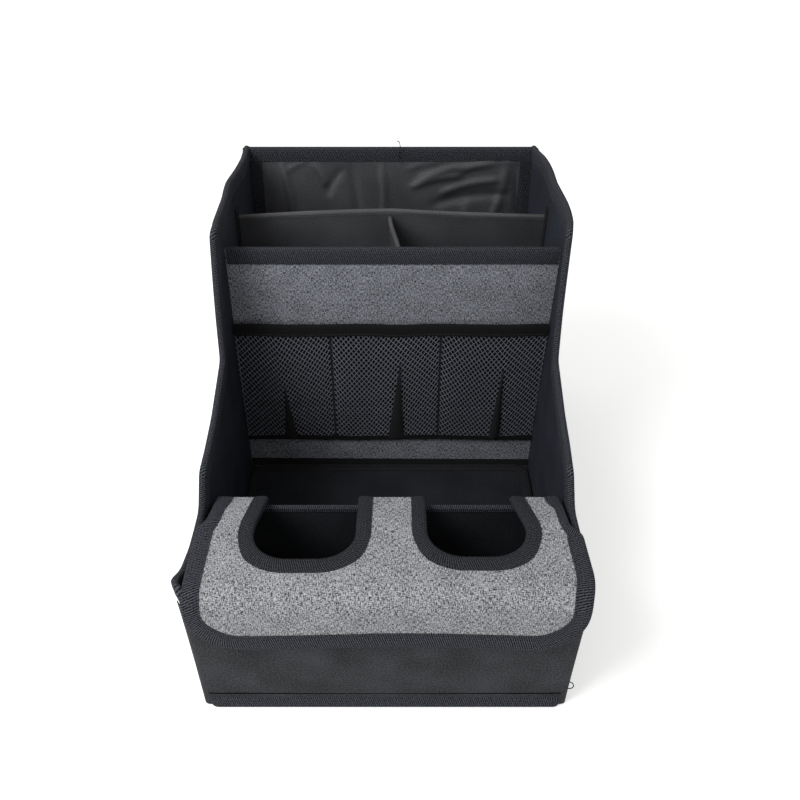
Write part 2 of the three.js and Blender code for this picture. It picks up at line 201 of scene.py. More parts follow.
# %% Shader arithmetic
class Value:
    """A socket of a finish that can be used in arithmetic."""

    def __init__(self, finish, socket):
        self.finish = finish
        self.socket = socket

    def math(self, operation, *others):
        return self.finish.node("ShaderNodeMath", {"operation": operation}, dict(enumerate((self, *others))))

    def __add__(self, other):
        return self.math("ADD", other)

    def __mul__(self, other):
        return self.math("MULTIPLY", other)

    def __sub__(self, other):
        return self.math("SUBTRACT", other)

    def __rsub__(self, other):
        return self * -1 + other

    __radd__ = __add__
    __rmul__ = __mul__

    def wave(self, turns=1.0):
        """Rises and falls so many times per unit: the sine of the value in turns."""
        return (self * (2 * math.pi * turns)).math("SINE")

    def between(self, low, high):
        """0 below low, 1 above high and a straight ramp between them."""
        sockets = {"Value": self, "From Min": low, "From Max": high}
        return self.finish.node("ShaderNodeMapRange", {"clamp": True}, sockets)


class Finish:
    """One material: a Principled shader whose nodes are made by node(), and the slot it stands for."""

    def __init__(self, name, slot, roughness, specular):
        self.slot = slot
        self.material = bpy.data.materials.new(name)
        self.material.use_nodes = True
        self.tree = self.material.node_tree
        self.shader = self.tree.nodes["Principled BSDF"]
        self.shader.inputs["Roughness"].default_value = roughness
        self.shader.inputs["Specular IOR Level"].default_value = specular

    def node(self, kind, settings, sockets, output=0):
        """Makes a node, sets its settings first, then gives each socket its value or link."""
        made = self.tree.nodes.new(kind)
        for key, value in settings.items():
            setattr(made, key, value)
        for key, value in sockets.items():
            if isinstance(value, Value):
                self.tree.links.new(value.socket, made.inputs[key])
            else:
                made.inputs[key].default_value = value
        return Value(self, made.outputs[output])

    def feed(self, name, value):
        self.tree.links.new(value.socket, self.shader.inputs[name])

    def place(self, along, across):
        """Where a point lies along and across its cloth, in so many repeats of a pattern per metre."""
        uv = self.node("ShaderNodeUVMap", {"uv_map": "cloth"}, {})
        return self.node("ShaderNodeMapping", {}, {"Vector": uv, "Scale": (along, across, 1)})

    def axis(self, place, which):
        return self.node("ShaderNodeSeparateXYZ", {}, {"Vector": place}, output=which)

    def noise(self, along, across, detail):
        sockets = {"Vector": self.place(along, across), "Scale": 1.0, "Detail": detail}
        return self.node("ShaderNodeTexNoise", {}, sockets)

    def mix(self, share, low, high):
        """A colour between two others."""
        return self.node("ShaderNodeMix", {"data_type": "RGBA"}, {0: share, 6: low, 7: high}, output=2)

    def bump(self, height, distance, strength):
        sockets = {"Height": height, "Distance": distance, "Strength": strength}
        self.feed("Normal", self.node("ShaderNodeBump", {}, sockets))


def grey(level, blue=0.0):
    """A grey, with some more blue than red where the cloth is a cool one."""
    return (level, level * (1 + blue / 4), level * (1 + blue), 1)


# %% [markdown]
# The grey cloth is a melange: each yarn is spun from light and dark fibres, so it shows short light and dark
# dashes that run with the warp and with the weft. Two stretched noises make the dashes, one along each thread
# direction, and a finer one makes single fibres.

# %% Melange cloth
def melange(name, slot, dark, light, blue, size=1.0):
    finish = Finish(name, slot, roughness=0.95, specular=0.15)
    along = finish.noise(430 / size, 1900 / size, detail=2)
    across = finish.noise(1900 / size, 380 / size, detail=2)
    fibre = finish.noise(1500 / size, 1500 / size, detail=1)
    cloud = finish.noise(60, 60, detail=2)
    dash = along * 0.34 + across * 0.4 + fibre * 0.26
    share = (dash + (cloud - 0.5) * 0.06).between(0.425, 0.575)
    finish.feed("Base Color", finish.mix(share, grey(dark, blue), grey(light, blue * 0.7)))
    finish.bump(dash, distance=0.0008, strength=0.5)
    return finish


LIGHT_MELANGE = melange("light_melange_cloth", "heather_light", dark=0.018, light=0.46, blue=0.09)
DARK_MELANGE = melange("dark_melange_cloth", "heather_dark", dark=0.004, light=0.34, blue=0.24, size=0.95)
print("two melange cloths")

# %% [markdown]
# The black cloth of the box is a plain weave of flat polyester yarn with a coating behind it. It looks almost
# even from a step away, and close up it shows a fine basket of threads, with lighter dust-like specks where
# yarns catch the light.

# %% Plain woven cloth
def plain_weave(name, slot, level, blue, thread, roughness=0.75, specular=0.2, grain=0.35):
    finish = Finish(name, slot, roughness, specular)
    threads = finish.place(1 / (thread * MM), 1 / (thread * MM))
    weave = finish.axis(threads, 0).wave(0.5) * finish.axis(threads, 1).wave(0.5)
    speck = finish.noise(800, 800, detail=1)
    share = speck * 0.7 + finish.noise(26, 26, detail=3) * 0.5 + weave * 0.1
    low, high = grey(level * (1 - grain), blue), grey(level * (1 + 1.4 * grain), blue)
    finish.feed("Base Color", finish.mix(share.between(0.42, 0.78), low, high))
    finish.bump(weave * 0.5 + speck * 0.5, distance=0.0003, strength=0.5)
    return finish


OXFORD = plain_weave("black_oxford_cloth", "oxford_cloth", level=0.024, blue=0.2, thread=0.55, grain=0.8)
LINING = plain_weave("black_lining", "lining_cloth", 0.044, 0.15, 0.3, roughness=0.36, specular=0.6)
SIDE_LINING = plain_weave("side_lining", "lining_cloth", 0.021, 0.55, 0.55, specular=0.15)
WELL_CLOTH = plain_weave("well_lining", "lining_cloth", 0.015, 0.3, 0.55, roughness=0.85, specular=0.1)
# Near-black cloth, darker than any cloth of the organizer: behind the net it is the pocket's backing and partly
# painted shade inside the pocket, and the foot's shadow gap uses it as painted shade.
BACKING_AND_SHADE = plain_weave("pocket_backing_and_painted_shade", "lining_cloth", 0.004, 0.2, 0.3, roughness=0.95, specular=0.05)
CORE = plain_weave("stiffening_board", "stiffener_board", 0.04, 0.1, 1.4, roughness=0.8)
# The divider hems are lighter than the lining: a painted highlight where their folded top edge catches the
# light.
HEM_WITH_PAINTED_HIGHLIGHT = plain_weave("hem_painted_highlight", "binding_tape", 0.06, 0.05, 0.3, roughness=0.5, specular=0.4)
print("seven plain weaves")

# %% [markdown]
# The tape is a narrow twill with ribs that cross it at a slant. Its UV map runs along the tape and round its
# fold, so one pattern serves every bound edge. Ribs are a sine of the place along the tape, bent a little by
# noise, and the colour is lighter on the crown of each rib.

# %% Woven tape
RIB_PITCH, CROSS_PITCH = 1.5, 4.6


def woven_tape(name, level, contrast, blue=0.14, slot="binding_tape"):
    finish = Finish(name, slot, roughness=0.9, specular=0.15)
    ribs = finish.place(1 / (RIB_PITCH * MM), 1 / (CROSS_PITCH * MM))
    bend = finish.noise(500, 500, detail=1)
    along, across = finish.axis(ribs, 0), finish.axis(ribs, 1)
    rib = (along + across + bend * 0.5).wave()
    fluff = finish.noise(800, 800, detail=1)
    crown = rib * 0.42 + across.wave(2.2) * 0.1 + (fluff - 0.5) * 1.4 + 0.5
    low, high = grey(level * (1 - contrast), blue), grey(level * (1 + 1.8 * contrast), blue)
    finish.feed("Base Color", finish.mix(crown.between(0.2, 0.8), low, high))
    finish.bump(crown, distance=0.0005, strength=0.9)
    return finish


TAPE = woven_tape("black_binding_tape", level=0.026, contrast=0.9, blue=0.3)
CUP_TAPE = woven_tape("cup_binding_tape", level=0.019, contrast=0.8, blue=0.25)
DARK_TAPE = woven_tape("pocket_binding_tape", level=0.007, contrast=0.5)
SEAM_TAPE = woven_tape("seam_tape", level=0.013, contrast=0.5)
THREAD = woven_tape("sewing_thread", level=0.03, contrast=0.3)
# The net yarn is lighter than its grey: partly painted sheen of the glossy strands.
NET = woven_tape("net_yarn_with_painted_sheen", level=0.155, contrast=0.3, blue=0.25, slot="mesh_net")
print("four tapes, a thread and a yarn")

# %% [markdown]
# The side walls give the organizer its stepped outline: low beside the cups, a slow rise along the open well,
# then a steep climb to the tall rear. The outline is a run of straight lines with rounded corners, and the
# tape that binds it follows the same run moved inwards. The upper edge of the real walls isn't straight from
# above either: cloth and thin board wander a few millimetres, most of all where no cross wall holds them. That
# wander is a short table of places along the wall, faded out towards the foot, where the base holds the walls.

# %% Outline and lean of the side walls
def cross(a, b):
    """Turn from one flat direction to another: positive when it is to the left."""
    return a[0] * b[1] - a[1] * b[0]


def rounded_chain(corners, inset=0.0, spacing=3.0):
    """Straight runs joined by arcs, moved to their right by inset. Each corner is (x, y) or (x, y, radius).
    An arc turns about a centre that lies one radius beside the run, and starts radius * tan(turn / 2) before
    the corner. Every inset gets the same number of points."""
    places = np.array([corner[:2] for corner in corners], float)
    radii = [corner[2] if len(corner) > 2 else 0.0 for corner in corners]
    runs = np.diff(places, axis=0)
    lengths = np.hypot(runs[:, 0], runs[:, 1])
    along = runs / lengths[:, None]
    right = np.column_stack([along[:, 1], -along[:, 0]])
    start = places[:-1] + inset * right
    last, parts = start[0], []
    for i, length in enumerate(lengths):
        if i + 1 < len(runs):
            turn = cross(along[i], along[i + 1])
            bend = math.atan2(abs(turn), along[i] @ along[i + 1])
            bent_here = bend > 1e-6
            sense = math.copysign(1, turn)
            radius = max(radii[i + 1] + sense * inset, 0.5)
            past = cross(start[i + 1] - start[i], along[i + 1]) / turn if bent_here else length
            begin = start[i] + along[i] * past - along[i] * radius * math.tan(bend / 2)
            spoke = right[i] * sense * radius
            steps = max(3, round(radii[i + 1] * bend / 2)) if bent_here else 0
            angle = sense * bend * np.linspace(0, 1, steps + 1)
            turned = np.column_stack([spoke[0] * np.cos(angle) - spoke[1] * np.sin(angle),
                                      spoke[0] * np.sin(angle) + spoke[1] * np.cos(angle)])
            arc = begin - spoke + turned
        else:
            begin = places[-1] + inset * right[i]
            arc = begin[None]
        count = max(1, round(length / spacing))
        share = np.linspace(0, 1, count + 1)[1 if i else 0:-1, None]
        parts += [last + (begin - last) * share, arc]
        last = arc[-1]
    return np.concatenate(parts)


FRONT_RIM = 113.0
RIM_FOOT = 103.4
RIM_CORNERS = [(0, RIM_FOOT), (0, FRONT_RIM, 6), (80, FRONT_RIM, 12), (97, 135.5, 12), (150, 146.5, 80),
               (200, 162, 9), (227, TALL, 8), (DEPTH, TALL)]
rim_line = rounded_chain(RIM_CORNERS)
rim_line = rim_line[rim_line[:, 1] >= FRONT_RIM - 6]

# How far each wall's upper edge stands out from its straight place: (mm from the front, mm outwards).
LEFT_WANDER = [(0, -0.8), (5, 3.1), (12, 7.6), (22, 4.6), (45, 2.4), (62, 2.4), (80, 2.6), (95, 1.8),
               (115, 0.8), (140, 0.3), (210, 0.2), (222, -0.9), (232, -2.4), (245, -1.3), (290, -0.6),
               (305, 0.6), (320, 1.4), (335, -0.2), (350, -1.9), (375, -3.3), (404, -2.2)]
RIGHT_WANDER = [(0, 2.4), (45, 1), (80, 0.6), (99, -0.8), (120, -0.3), (150, -0.3), (213, 0), (229, 2.2),
                (245, 5.2), (262, 6.5), (278, 6.7), (292, 5.9), (320, 4.1), (345, 4.6), (362, 4.0),
                (378, 2.2), (392, -1.4), (404, -3.2)]
WANDER_STEP = 2.0
wander_at = np.arange(-20, DEPTH + 20, WANDER_STEP)


def soften(table):
    """A table of (place, value) drawn as one soft line: the straight joins are averaged over a few steps."""
    line = np.interp(wander_at, *np.array(table).T)
    blur = np.hanning(9)
    return np.convolve(np.pad(line, 4, mode="edge"), blur / blur.sum(), mode="valid")


wander = {-1: soften(LEFT_WANDER), 1: soften(RIGHT_WANDER)}


def rim_height(y):
    """Height of the side walls' upper edge above the ground."""
    return np.interp(y, rim_line[:, 0], rim_line[:, 1])


EAR_RISE, EAR_LENGTH, EAR_FROM, EAR_FADE = 7, 34, 60, 50


def lifted(side, y, z):
    """The left wall's front corner is pulled up where its tape is folded over: a rise that fades rearwards."""
    ear = EAR_RISE * smooth((EAR_LENGTH - y) / EAR_LENGTH) ** 1.5 * smooth((z - EAR_FROM) / EAR_FADE)
    return z if side > 0 else z + ear


CORNER_IN, CORNER_LENGTH = 4.2, 55
SPREAD_RIGHT, SPREAD_LEFT, SPREAD_FROM, SPREAD_LENGTH = 4.0, 6.0, 20, 200


def drawn_in(x, y, z=0.0):
    """The foot isn't a true rectangle. The right front corner stands in, and towards the rear both feet
    spread, more on the left: x plus its share of the half width times a spread that fades up to the rim."""
    share = np.clip(x / BASE_HALF, -1.1, 1.1)
    spread = (smooth((y - SPREAD_FROM) / SPREAD_LENGTH) * np.clip(1 - z / rim_height(y), 0, 1)
              * np.where(share > 0, SPREAD_RIGHT, SPREAD_LEFT))
    return x - CORNER_IN * np.maximum(share, 0) * smooth((CORNER_LENGTH - y) / CORNER_LENGTH) + share * spread


def wall_x(side, y, z, depth):
    """Sideways place of a side wall's layer: half width + lean * height + wander * (height / rim) ^ 1.6."""
    rise = np.clip(z / rim_height(y), 0, 1.05) ** 1.6
    out = np.interp(y, wander_at, wander[side])
    return drawn_in(side * (BASE_HALF + LEAN * z + out * rise - depth), y, z)


print(f"rim of {len(rim_line)} points, wander {min(map(min, wander.values())):.1f} to "
      f"{max(map(max, wander.values())):.1f} mm")

# %% [markdown]
# Each side wall is three sheets over one grid: outer cloth, board and lining, every one a plain strip of its
# own thickness at its own depth. A grid of places along the wall and shares of its height bends with the
# outline, so no cutting is needed. The board stops a few millimetres short of both ends.

# %% Side walls
CLOTH, BOARD, THIN = 0.8, 1.6, 0.6
GAP = 0.3
FOOT = CLOTH + GAP
LAYERS = {"outer_cloth": (0, CLOTH), "board": (CLOTH + GAP, CLOTH + GAP + BOARD),
          "lining": (CLOTH + BOARD + 2 * GAP, CLOTH + BOARD + THIN + 2 * GAP)}
WALL = LAYERS["lining"][1]
BOARD_INSET = 3.5


def side_surface(side):
    """(along the wall, share of its height, depth) to a point of the leaning, wandering wall."""
    def surface(y, share, depth):
        z = lifted(side, y, FOOT + share * (rim_height(y) - FOOT))
        return np.column_stack([wall_x(side, y, z, depth), y, z])
    return surface


along_wall = np.unique(np.round(np.concatenate([rim_line[:, 0], np.linspace(0, DEPTH, 90)]), 1))
along_board = along_wall[(along_wall > BOARD_INSET) & (along_wall < DEPTH - BOARD_INSET)]
wall_area = np.trapz(rim_height(along_wall) - FOOT, along_wall) * MM ** 2
SIDE_GRIDS = {"outer_cloth": (along_wall, 46, OXFORD), "board": (along_board, 12, CORE),
              "lining": (along_wall, 46, SIDE_LINING)}
for side, hand in HANDS:
    for layer, (columns, rows, finish) in SIDE_GRIDS.items():
        add_sheet(f"{hand}_side_{layer}", side_surface(side), columns, rows, LAYERS[layer], finish,
                  plane=(1, 2))
print(f"side walls of {len(along_wall)} columns, {wall_area:.4f} square metres each")

# %% [markdown]
# The cross walls hang between the side walls: front, back, the tall panel, two dividers and the wall behind
# the cups. Their ends have to meet leaning and wandering sides, so a point is given as a share of the way
# across, and its place is read from both side walls at that height. The lining of the back shows creases from
# the folded carton it was shipped in, which are ridges with a soft cross section.

# %% Cross walls
def between_sides(share, y, z, inset):
    """Share of the way from the left wall's inner face to the right one's, at a place and height."""
    left, right = wall_x(-1, y, z, inset), wall_x(1, y, z, inset)
    return left + share * (right - left)


def cross_surface(y_at, top, foot=FOOT, sense=1):
    """(share across, share up, depth) to a point of a wall that stands across the organizer."""
    def surface(share, up, depth):
        z = foot + up * ((top(share) if callable(top) else top) - foot)
        y = y_at(share, z) + 0 * z
        return np.column_stack([between_sides(share, y, z, WALL + GAP), y + sense * depth, z])
    return surface


# Folds of the back wall in mm: (x, z) of both ends, width, height. Positive ones stand out to the front.
BACK_FOLDS = [(-101, 252, -99, 60, 3.0, 1.3), (-38, 250, -36, 90, 4.0, -1.1), (-8, 246, -14, 150, 3.0, 0.9),
              (20, 223, 66, 234, 3.2, 1.3), (28, 231, 92, 245, 3.6, 1.5), (48, 217, 101, 229, 3.4, 1.3),
              (64, 238, 119, 247, 3.0, 1.1), (40, 205, 110, 215, 4.5, -1.2), (16, 240, 44, 246, 2.6, 0.8),
              (-72, 246, -60, 225, 3.4, 0.9), (-96, 238, -78, 247, 2.6, 0.7), (-60, 215, -45, 240, 4.0, -0.8),
              (108, 246, 96, 190, 4.0, 1.0), (117, 235, 113, 120, 3.0, -0.9), (72, 205, 60, 120, 6.0, 1.2),
              (-84, 200, -70, 90, 6.0, 1.1), (0, 190, 30, 100, 7.0, 1.0)]
FOLD_SCALE = 1.5


def folds(x, z, lines):
    """Height of a set of folds: a bell across each line, faded out past its ends. Across is the distance from
    the line, and along runs from 0 to 1 between its ends."""
    height = 0 * x
    for x0, z0, x1, z1, width, rise in lines:
        length = math.hypot(x1 - x0, z1 - z0)
        along = ((x - x0) * (x1 - x0) + (z - z0) * (z1 - z0)) / length ** 2
        bowed = 0.05 * length * np.sin(np.pi * np.clip(along, 0, 1))
        across = ((x - x0) * (z1 - z0) - (z - z0) * (x1 - x0)) / length + bowed
        ends = smooth((along + 0.12) / 0.25) * smooth((1.12 - along) / 0.25)
        height = height + FOLD_SCALE * rise * np.exp(-(across / width) ** 2) * ends
    return height


def back_y(share, z):
    """Back wall: upright, a little hollow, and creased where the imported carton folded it."""
    up = np.clip(z / TALL, 0, 1)
    x = (share - 0.5) * 2 * BASE_HALF
    hollow = 1.6 * np.sin(np.pi * share) * np.sin(np.pi * up)
    return DEPTH - (folds(x, z, BACK_FOLDS) + hollow) * smooth(9 * (1 - up)) * smooth(8 * up)


def front_y(share, z):
    """Front wall: it bellies forward a little between its foot and its upper edge."""
    return -1.6 * np.sin(np.pi * share) * np.sin(np.pi * np.clip(z / 107, 0, 1)) ** 2


FRONT_TOP = node_box("front_board")[1][2]
BACK_TOP = node_box("back_board")[1][2]
back = cross_surface(back_y, BACK_TOP, sense=-1)
front = cross_surface(front_y, FRONT_TOP)
for layer, back_finish, front_finish in (("board", CORE, CORE), ("lining", LINING, WELL_CLOTH)):
    add_sheet(f"back_{layer}", back, 150, 120, LAYERS[layer], back_finish)
    add_sheet(f"front_{layer}", front, 90, 60, LAYERS[layer], front_finish)
print(f"back {BACK_TOP:.0f} mm and front {FRONT_TOP:.0f} mm high")

# %% [markdown]
# The outer cloth of the front and back isn't cut off at the corners. It is drawn round both of them and sewn
# to the side cloth, which hides the edges of the boards. So its sheet follows a path in plan, a wide U with
# round corners, and each point of that path is then moved with the leaning side walls.

# %% Outer cloths drawn round the corners
WRAP = 3.6
WRAP_OUT = 0.15
CORNER_RADIUS = 3.2


def wrapped_surface(sense, edge, top, y_of):
    """(share along the U, share up, depth) to a point of the cloth round the front (-1) or the back (1)."""
    half, face = BASE_HALF + CLOTH + WRAP_OUT, edge + sense * (CLOTH + WRAP_OUT)
    corners = [(-half, edge - sense * WRAP), (-half, face, CORNER_RADIUS), (half, face, CORNER_RADIUS),
               (half, edge - sense * WRAP)]

    def surface(share, up, depth):
        z = FOOT + up * (top - FOOT)
        plan = rounded_chain(corners, -sense * depth, spacing=2.5)
        place = np.linspace(0, 1, len(plan))
        x, y = (np.interp(share, place, column) for column in plan.T)
        across = (x + BASE_HALF) / (2 * BASE_HALF)
        belly = y_of(np.clip(across, 0, 1), z) - edge
        return np.column_stack([between_sides(across, y, z, 0), y + belly * (np.abs(x) < BASE_HALF), z])
    return surface


WRAPPED = {"front": (60, wrapped_surface(-1, 0, FRONT_TOP, front_y)),
           "back": (110, wrapped_surface(1, DEPTH, BACK_TOP, back_y))}
for name, (rows, surface) in WRAPPED.items():
    add_sheet(f"{name}_outer_cloth", surface, 150, rows, LAYERS["outer_cloth"], OXFORD,
              run=2 * (BASE_HALF + WRAP))
print(f"front and back cloth wrapped {WRAP} mm round their corners")

# %% [markdown]
# The panel in front of the rear compartments is faced with the darker grey melange, and its other side with
# lining. The dividers behind it are single sheets of coated cloth. The cross divider is a little higher in its
# middle, and the lengthwise one wanders to the right on its way forward.

# %% Panel, dividers and the wall behind the cups
PANEL_Y = node_box("pocket_panel_face")[0][1] + DEPTH / 2
PANEL_FOOT, PANEL_TOP = (corner[2] for corner in node_box("pocket_panel_board"))
PANEL_LAYERS = {"face": ((0, 1.0), DARK_MELANGE), "board": ((1.3, 2.9), CORE), "lining": ((3.2, 3.8), LINING)}
PANEL_BUILD = PANEL_LAYERS["lining"][0][1]
CROSS_Y, CROSS_TOP = 330.0, 226.0
CUP_WALL_Y, CUP_WALL_TOP, CUP_HEM_TOP = 95.0, 101.0, 103.1
HALF_DIVIDER = 1.1
DIVIDER = (0, 2 * HALF_DIVIDER)


PANEL_BELLY, CROSS_SAG, CENTRE_LEAN = 1.2, 6.5, 7.8


def panel_y(share, z):
    """Panel: almost flat, with a slight belly forward low down."""
    return PANEL_Y - PANEL_BELLY * np.sin(np.pi * share) * np.sin(np.pi * np.clip(z / PANEL_TOP, 0, 1))


def cross_top(share):
    """Its middle is held up by the lengthwise divider, and both halves sag straight towards the side walls."""
    return CROSS_TOP - 1 + CROSS_SAG * (1 - np.sqrt((2 * share - 1) ** 2 + 0.003)) + 0.35


def divider_y(share, z):
    return CROSS_Y - HALF_DIVIDER + 1.5 * np.sin(2.2 * np.pi * share) * z / 230


def cup_wall_y(share, z):
    return CUP_WALL_Y - HALF_DIVIDER


panel = cross_surface(panel_y, PANEL_TOP, PANEL_FOOT)
for layer, (build, finish) in PANEL_LAYERS.items():
    add_sheet(f"pocket_panel_{layer}", panel, 90, 60, build, finish)
add_sheet("cross_divider", cross_surface(divider_y, cross_top, PANEL_FOOT), 90, 40, DIVIDER, LINING)
add_sheet("cup_wall", cross_surface(cup_wall_y, CUP_WALL_TOP, PANEL_FOOT), 90, 30, DIVIDER, WELL_CLOTH)

CENTRE_FRONT = PANEL_Y + PANEL_BUILD + GAP
CENTRE_BACK = CROSS_Y - HALF_DIVIDER - GAP
centre_places = np.linspace(CENTRE_FRONT + 1.5, CENTRE_BACK - 1, 26)


def centre_surface(y, z, depth):
    """The lengthwise divider leans to the right towards the panel, in full at its upper edge."""
    lean = CENTRE_LEAN * smooth((CENTRE_BACK - y) / (CENTRE_BACK - CENTRE_FRONT))
    return np.column_stack([lean * z / CROSS_TOP - HALF_DIVIDER + depth, y, z])


add_sheet("centre_divider", centre_surface, centre_places, np.linspace(PANEL_FOOT, CROSS_TOP, 40), DIVIDER,
          LINING, plane=(1, 2))
print(f"{len(pieces)} sheets of cloth and board so far")

# %% [markdown]
# Every raw edge is bound: a tape is folded over it and stitched through near its two selvedges. Its cross
# section is a narrow U whose sides are pressed down at the stitches and swell between them and the fold. The
# section is carried along the edge. At each station it needs to know only where "this far in from the edge
# and this far across the cloth" is, so one function binds straight, stepped and round edges alike.

# %% Folded tape
TAPE_WIDTH = 12.0
FOLD, SELVEDGE = 0.9, 0.55


def fold_section(width, half):
    """Closed outline of a folded tape, as (inwards from the edge, across the cloth) pairs."""
    crest, lip, near = half + FOLD, half + SELVEDGE, half + 0.06
    outer = [(width, lip), (width - 0.8, lip + 0.05), (width - 1.9, lip - 0.12), (width - 3.4, crest - 0.1),
             (width * 0.5, crest), (width * 0.22, crest - 0.05), (0.6, half + FOLD * 0.7),
             (-0.35, half + FOLD * 0.1), (-FOLD, half * 0.3)]
    inner = [(width, near), (width * 0.75, near), (width * 0.5, near), (width * 0.25, near),
             (0.1, half + 0.05), (-0.15, half * 0.6), (-0.15, half * 0.2)]
    mirrored, back_side = ([(a, -t) for a, t in side] for side in (outer[::-1], inner))
    return np.array(outer + mirrored + back_side + inner[::-1])


def carry(section, at):
    """The section at every station: at(inwards) gives all stations' places at the middle of the cloth and
    their across directions, so a point is place + across * distance."""
    rings = ((at(inwards), out) for inwards, out in section)
    return np.stack([place + across * out for (place, across), out in rings], axis=1)


def tube_faces(stations, sides, closed=False):
    """Faces of a section of so many sides carried along so many stations, with its two ends filled."""
    index = np.arange(stations * sides).reshape(stations, sides)
    after = np.roll(index, -1, axis=0) if closed else index[1:]
    before = index if closed else index[:-1]
    wall = np.stack([before, after, np.roll(after, -1, 1), np.roll(before, -1, 1)], axis=-1).reshape(-1, 4)
    if closed:
        return wall
    low = np.arange(sides // 2 - 1)
    high = sides - 1 - low
    cap = np.column_stack([low, high, high - 1, low + 1])
    return np.concatenate([wall, cap, cap[:, ::-1] + index[-1, 0]])


def add_tube(name, ring, finish, closed=False, **said):
    """A piece from rings of points, station by station. Its pattern runs along the path and round the ring."""
    along = np.linalg.norm(np.diff(ring.mean(axis=1), axis=0), axis=1)
    round_it = np.linalg.norm(np.diff(ring, axis=1), axis=2).mean(axis=0)
    u, v = (np.concatenate([[0], np.cumsum(steps)]) for steps in (along, round_it))
    uv = np.stack(np.meshgrid(u, v, indexing="ij"), axis=-1).reshape(-1, 2)
    add_piece(name, ring.reshape(-1, 3), tube_faces(*ring.shape[:2], closed), finish, uv, **said)


# %% Stitches along a tape
def capsule(length, radius):
    """A small stitch: circles of radius * sin(t) along its length, t from end to end, six points round."""
    t = np.array([0.12, 0.35, 0.65, 0.88]) * np.pi
    angle = np.arange(6) * np.pi / 3
    x = -np.cos(t)[:, None] * length / 2 + 0 * angle
    r = np.sin(t)[:, None] ** 0.5 * radius
    return np.stack([x, r * np.cos(angle), r * np.sin(angle)], axis=-1).reshape(-1, 3)


STITCH_PITCH = 3.4
STITCH, STITCH_FACES = capsule(2.5, 0.3), tube_faces(4, 6)
stitches = {"carcass": [], "lid": []}


def sew(places, across, body):
    """Lays one stitch every few millimetres along a line of places, sunk a little into the tape."""
    distance = np.concatenate([[0], np.cumsum(np.linalg.norm(np.diff(places, axis=0), axis=1))])
    middle = np.arange(STITCH_PITCH, distance[-1] - STITCH_PITCH, STITCH_PITCH)

    def along(values, at):
        return np.column_stack([np.interp(at, distance, values[:, i]) for i in range(3)])
    centre = along(places, middle)
    run = unit(along(places, middle + 0.5) - along(places, middle - 0.5))
    up = unit(along(across, middle))
    beside = np.cross(up, run)
    stitches[body].append(centre[:, None] + STITCH[None, :, :1] * run[:, None]
                          + STITCH[None, :, 1:2] * beside[:, None] + STITCH[None, :, 2:] * up[:, None])


def bind(name, at, width, half, finish=TAPE, body="carcass", faces=(1, -1), closed=False):
    """A tape over an edge, with a row of stitches near each selvedge that is named in faces."""
    add_tube(name, carry(fold_section(width, half), at), finish, closed, body=body, sharp=60)
    place, across = at(width - 1.9)
    for face in faces:
        sew(place + across * face * (half + 0.5), across * face, body)


# %% Tapes of the side walls
def rim_station(side):
    def at(inwards):
        y, z = rounded_chain(RIM_CORNERS, inwards).T
        z = lifted(side, y, z)
        return np.column_stack([wall_x(side, y, z, WALL / 2), y, z]), np.tile([1.0, 0, 0], (len(y), 1))
    return at


for side, hand in HANDS:
    bind(f"{hand}_side_edge_binding", rim_station(side), TAPE_WIDTH, WALL / 2)


# %% Tapes and hems of the cross walls
def top_station(surface, middle, stations=90, trim=0.004):
    """Stations along the upper edge of a cross wall: inwards is down, across is to the rear."""
    share = np.linspace(trim, 1 - trim, stations)

    def at(inwards):
        edge, lower = (surface(share, up + 0 * share, middle) for up in (1, 0.97))
        return edge + unit(lower - edge) * inwards, np.tile([0, 1.0, 0], (stations, 1))
    return at


def centre_station(inwards):
    place = centre_surface(centre_places, np.full(len(centre_places), CROSS_TOP - inwards), HALF_DIVIDER)
    return place, np.tile([1.0, 0, 0], (len(place), 1))


HEM = 4.0
HALF_PANEL = PANEL_BUILD / 2
bind("back_top_binding", top_station(back, WALL / 2), TAPE_WIDTH, WALL / 2)
bind("front_top_binding", top_station(front, WALL / 2), TAPE_WIDTH, WALL / 2)
bind("pocket_panel_binding", top_station(panel, HALF_PANEL), 13.0, HALF_PANEL)
for name, at, finish in (
        ("cross_divider_hem", top_station(cross_surface(divider_y, cross_top), HALF_DIVIDER), HEM_WITH_PAINTED_HIGHLIGHT),
        ("cup_wall_hem", top_station(cross_surface(cup_wall_y, CUP_HEM_TOP), HALF_DIVIDER), TAPE),
        ("centre_divider_hem", centre_station, HEM_WITH_PAINTED_HIGHLIGHT)):
    bind(name, at, HEM, HALF_DIVIDER, finish, faces=())
print(f"{len(pieces)} pieces, {sum(map(len, stitches['carcass']))} stitches")

# %% [markdown]
# The base is the same three layers laid flat, and a wide tape closes the seam where it meets the walls. That
# tape stands round the foot as a low skirt: it lies on the walls at its upper selvedge and flares a few
# millimetres outwards where it turns under.

# %% Base and its skirt
def base_surface(x, y, depth):
    return np.column_stack([drawn_in(x, y), y, depth + 0 * x])


for layer, finish in (("outer_cloth", OXFORD), ("board", CORE), ("lining", WELL_CLOTH)):
    low, high = node_box(f"base_{layer}")
    add_sheet(f"base_{layer}", base_surface, np.linspace(low[0], high[0], 30),
              np.linspace(low[1], high[1], 40) + DEPTH / 2, (low[2], high[2]), finish, plane=(0, 1))

SKIRT_TOP = 13.0
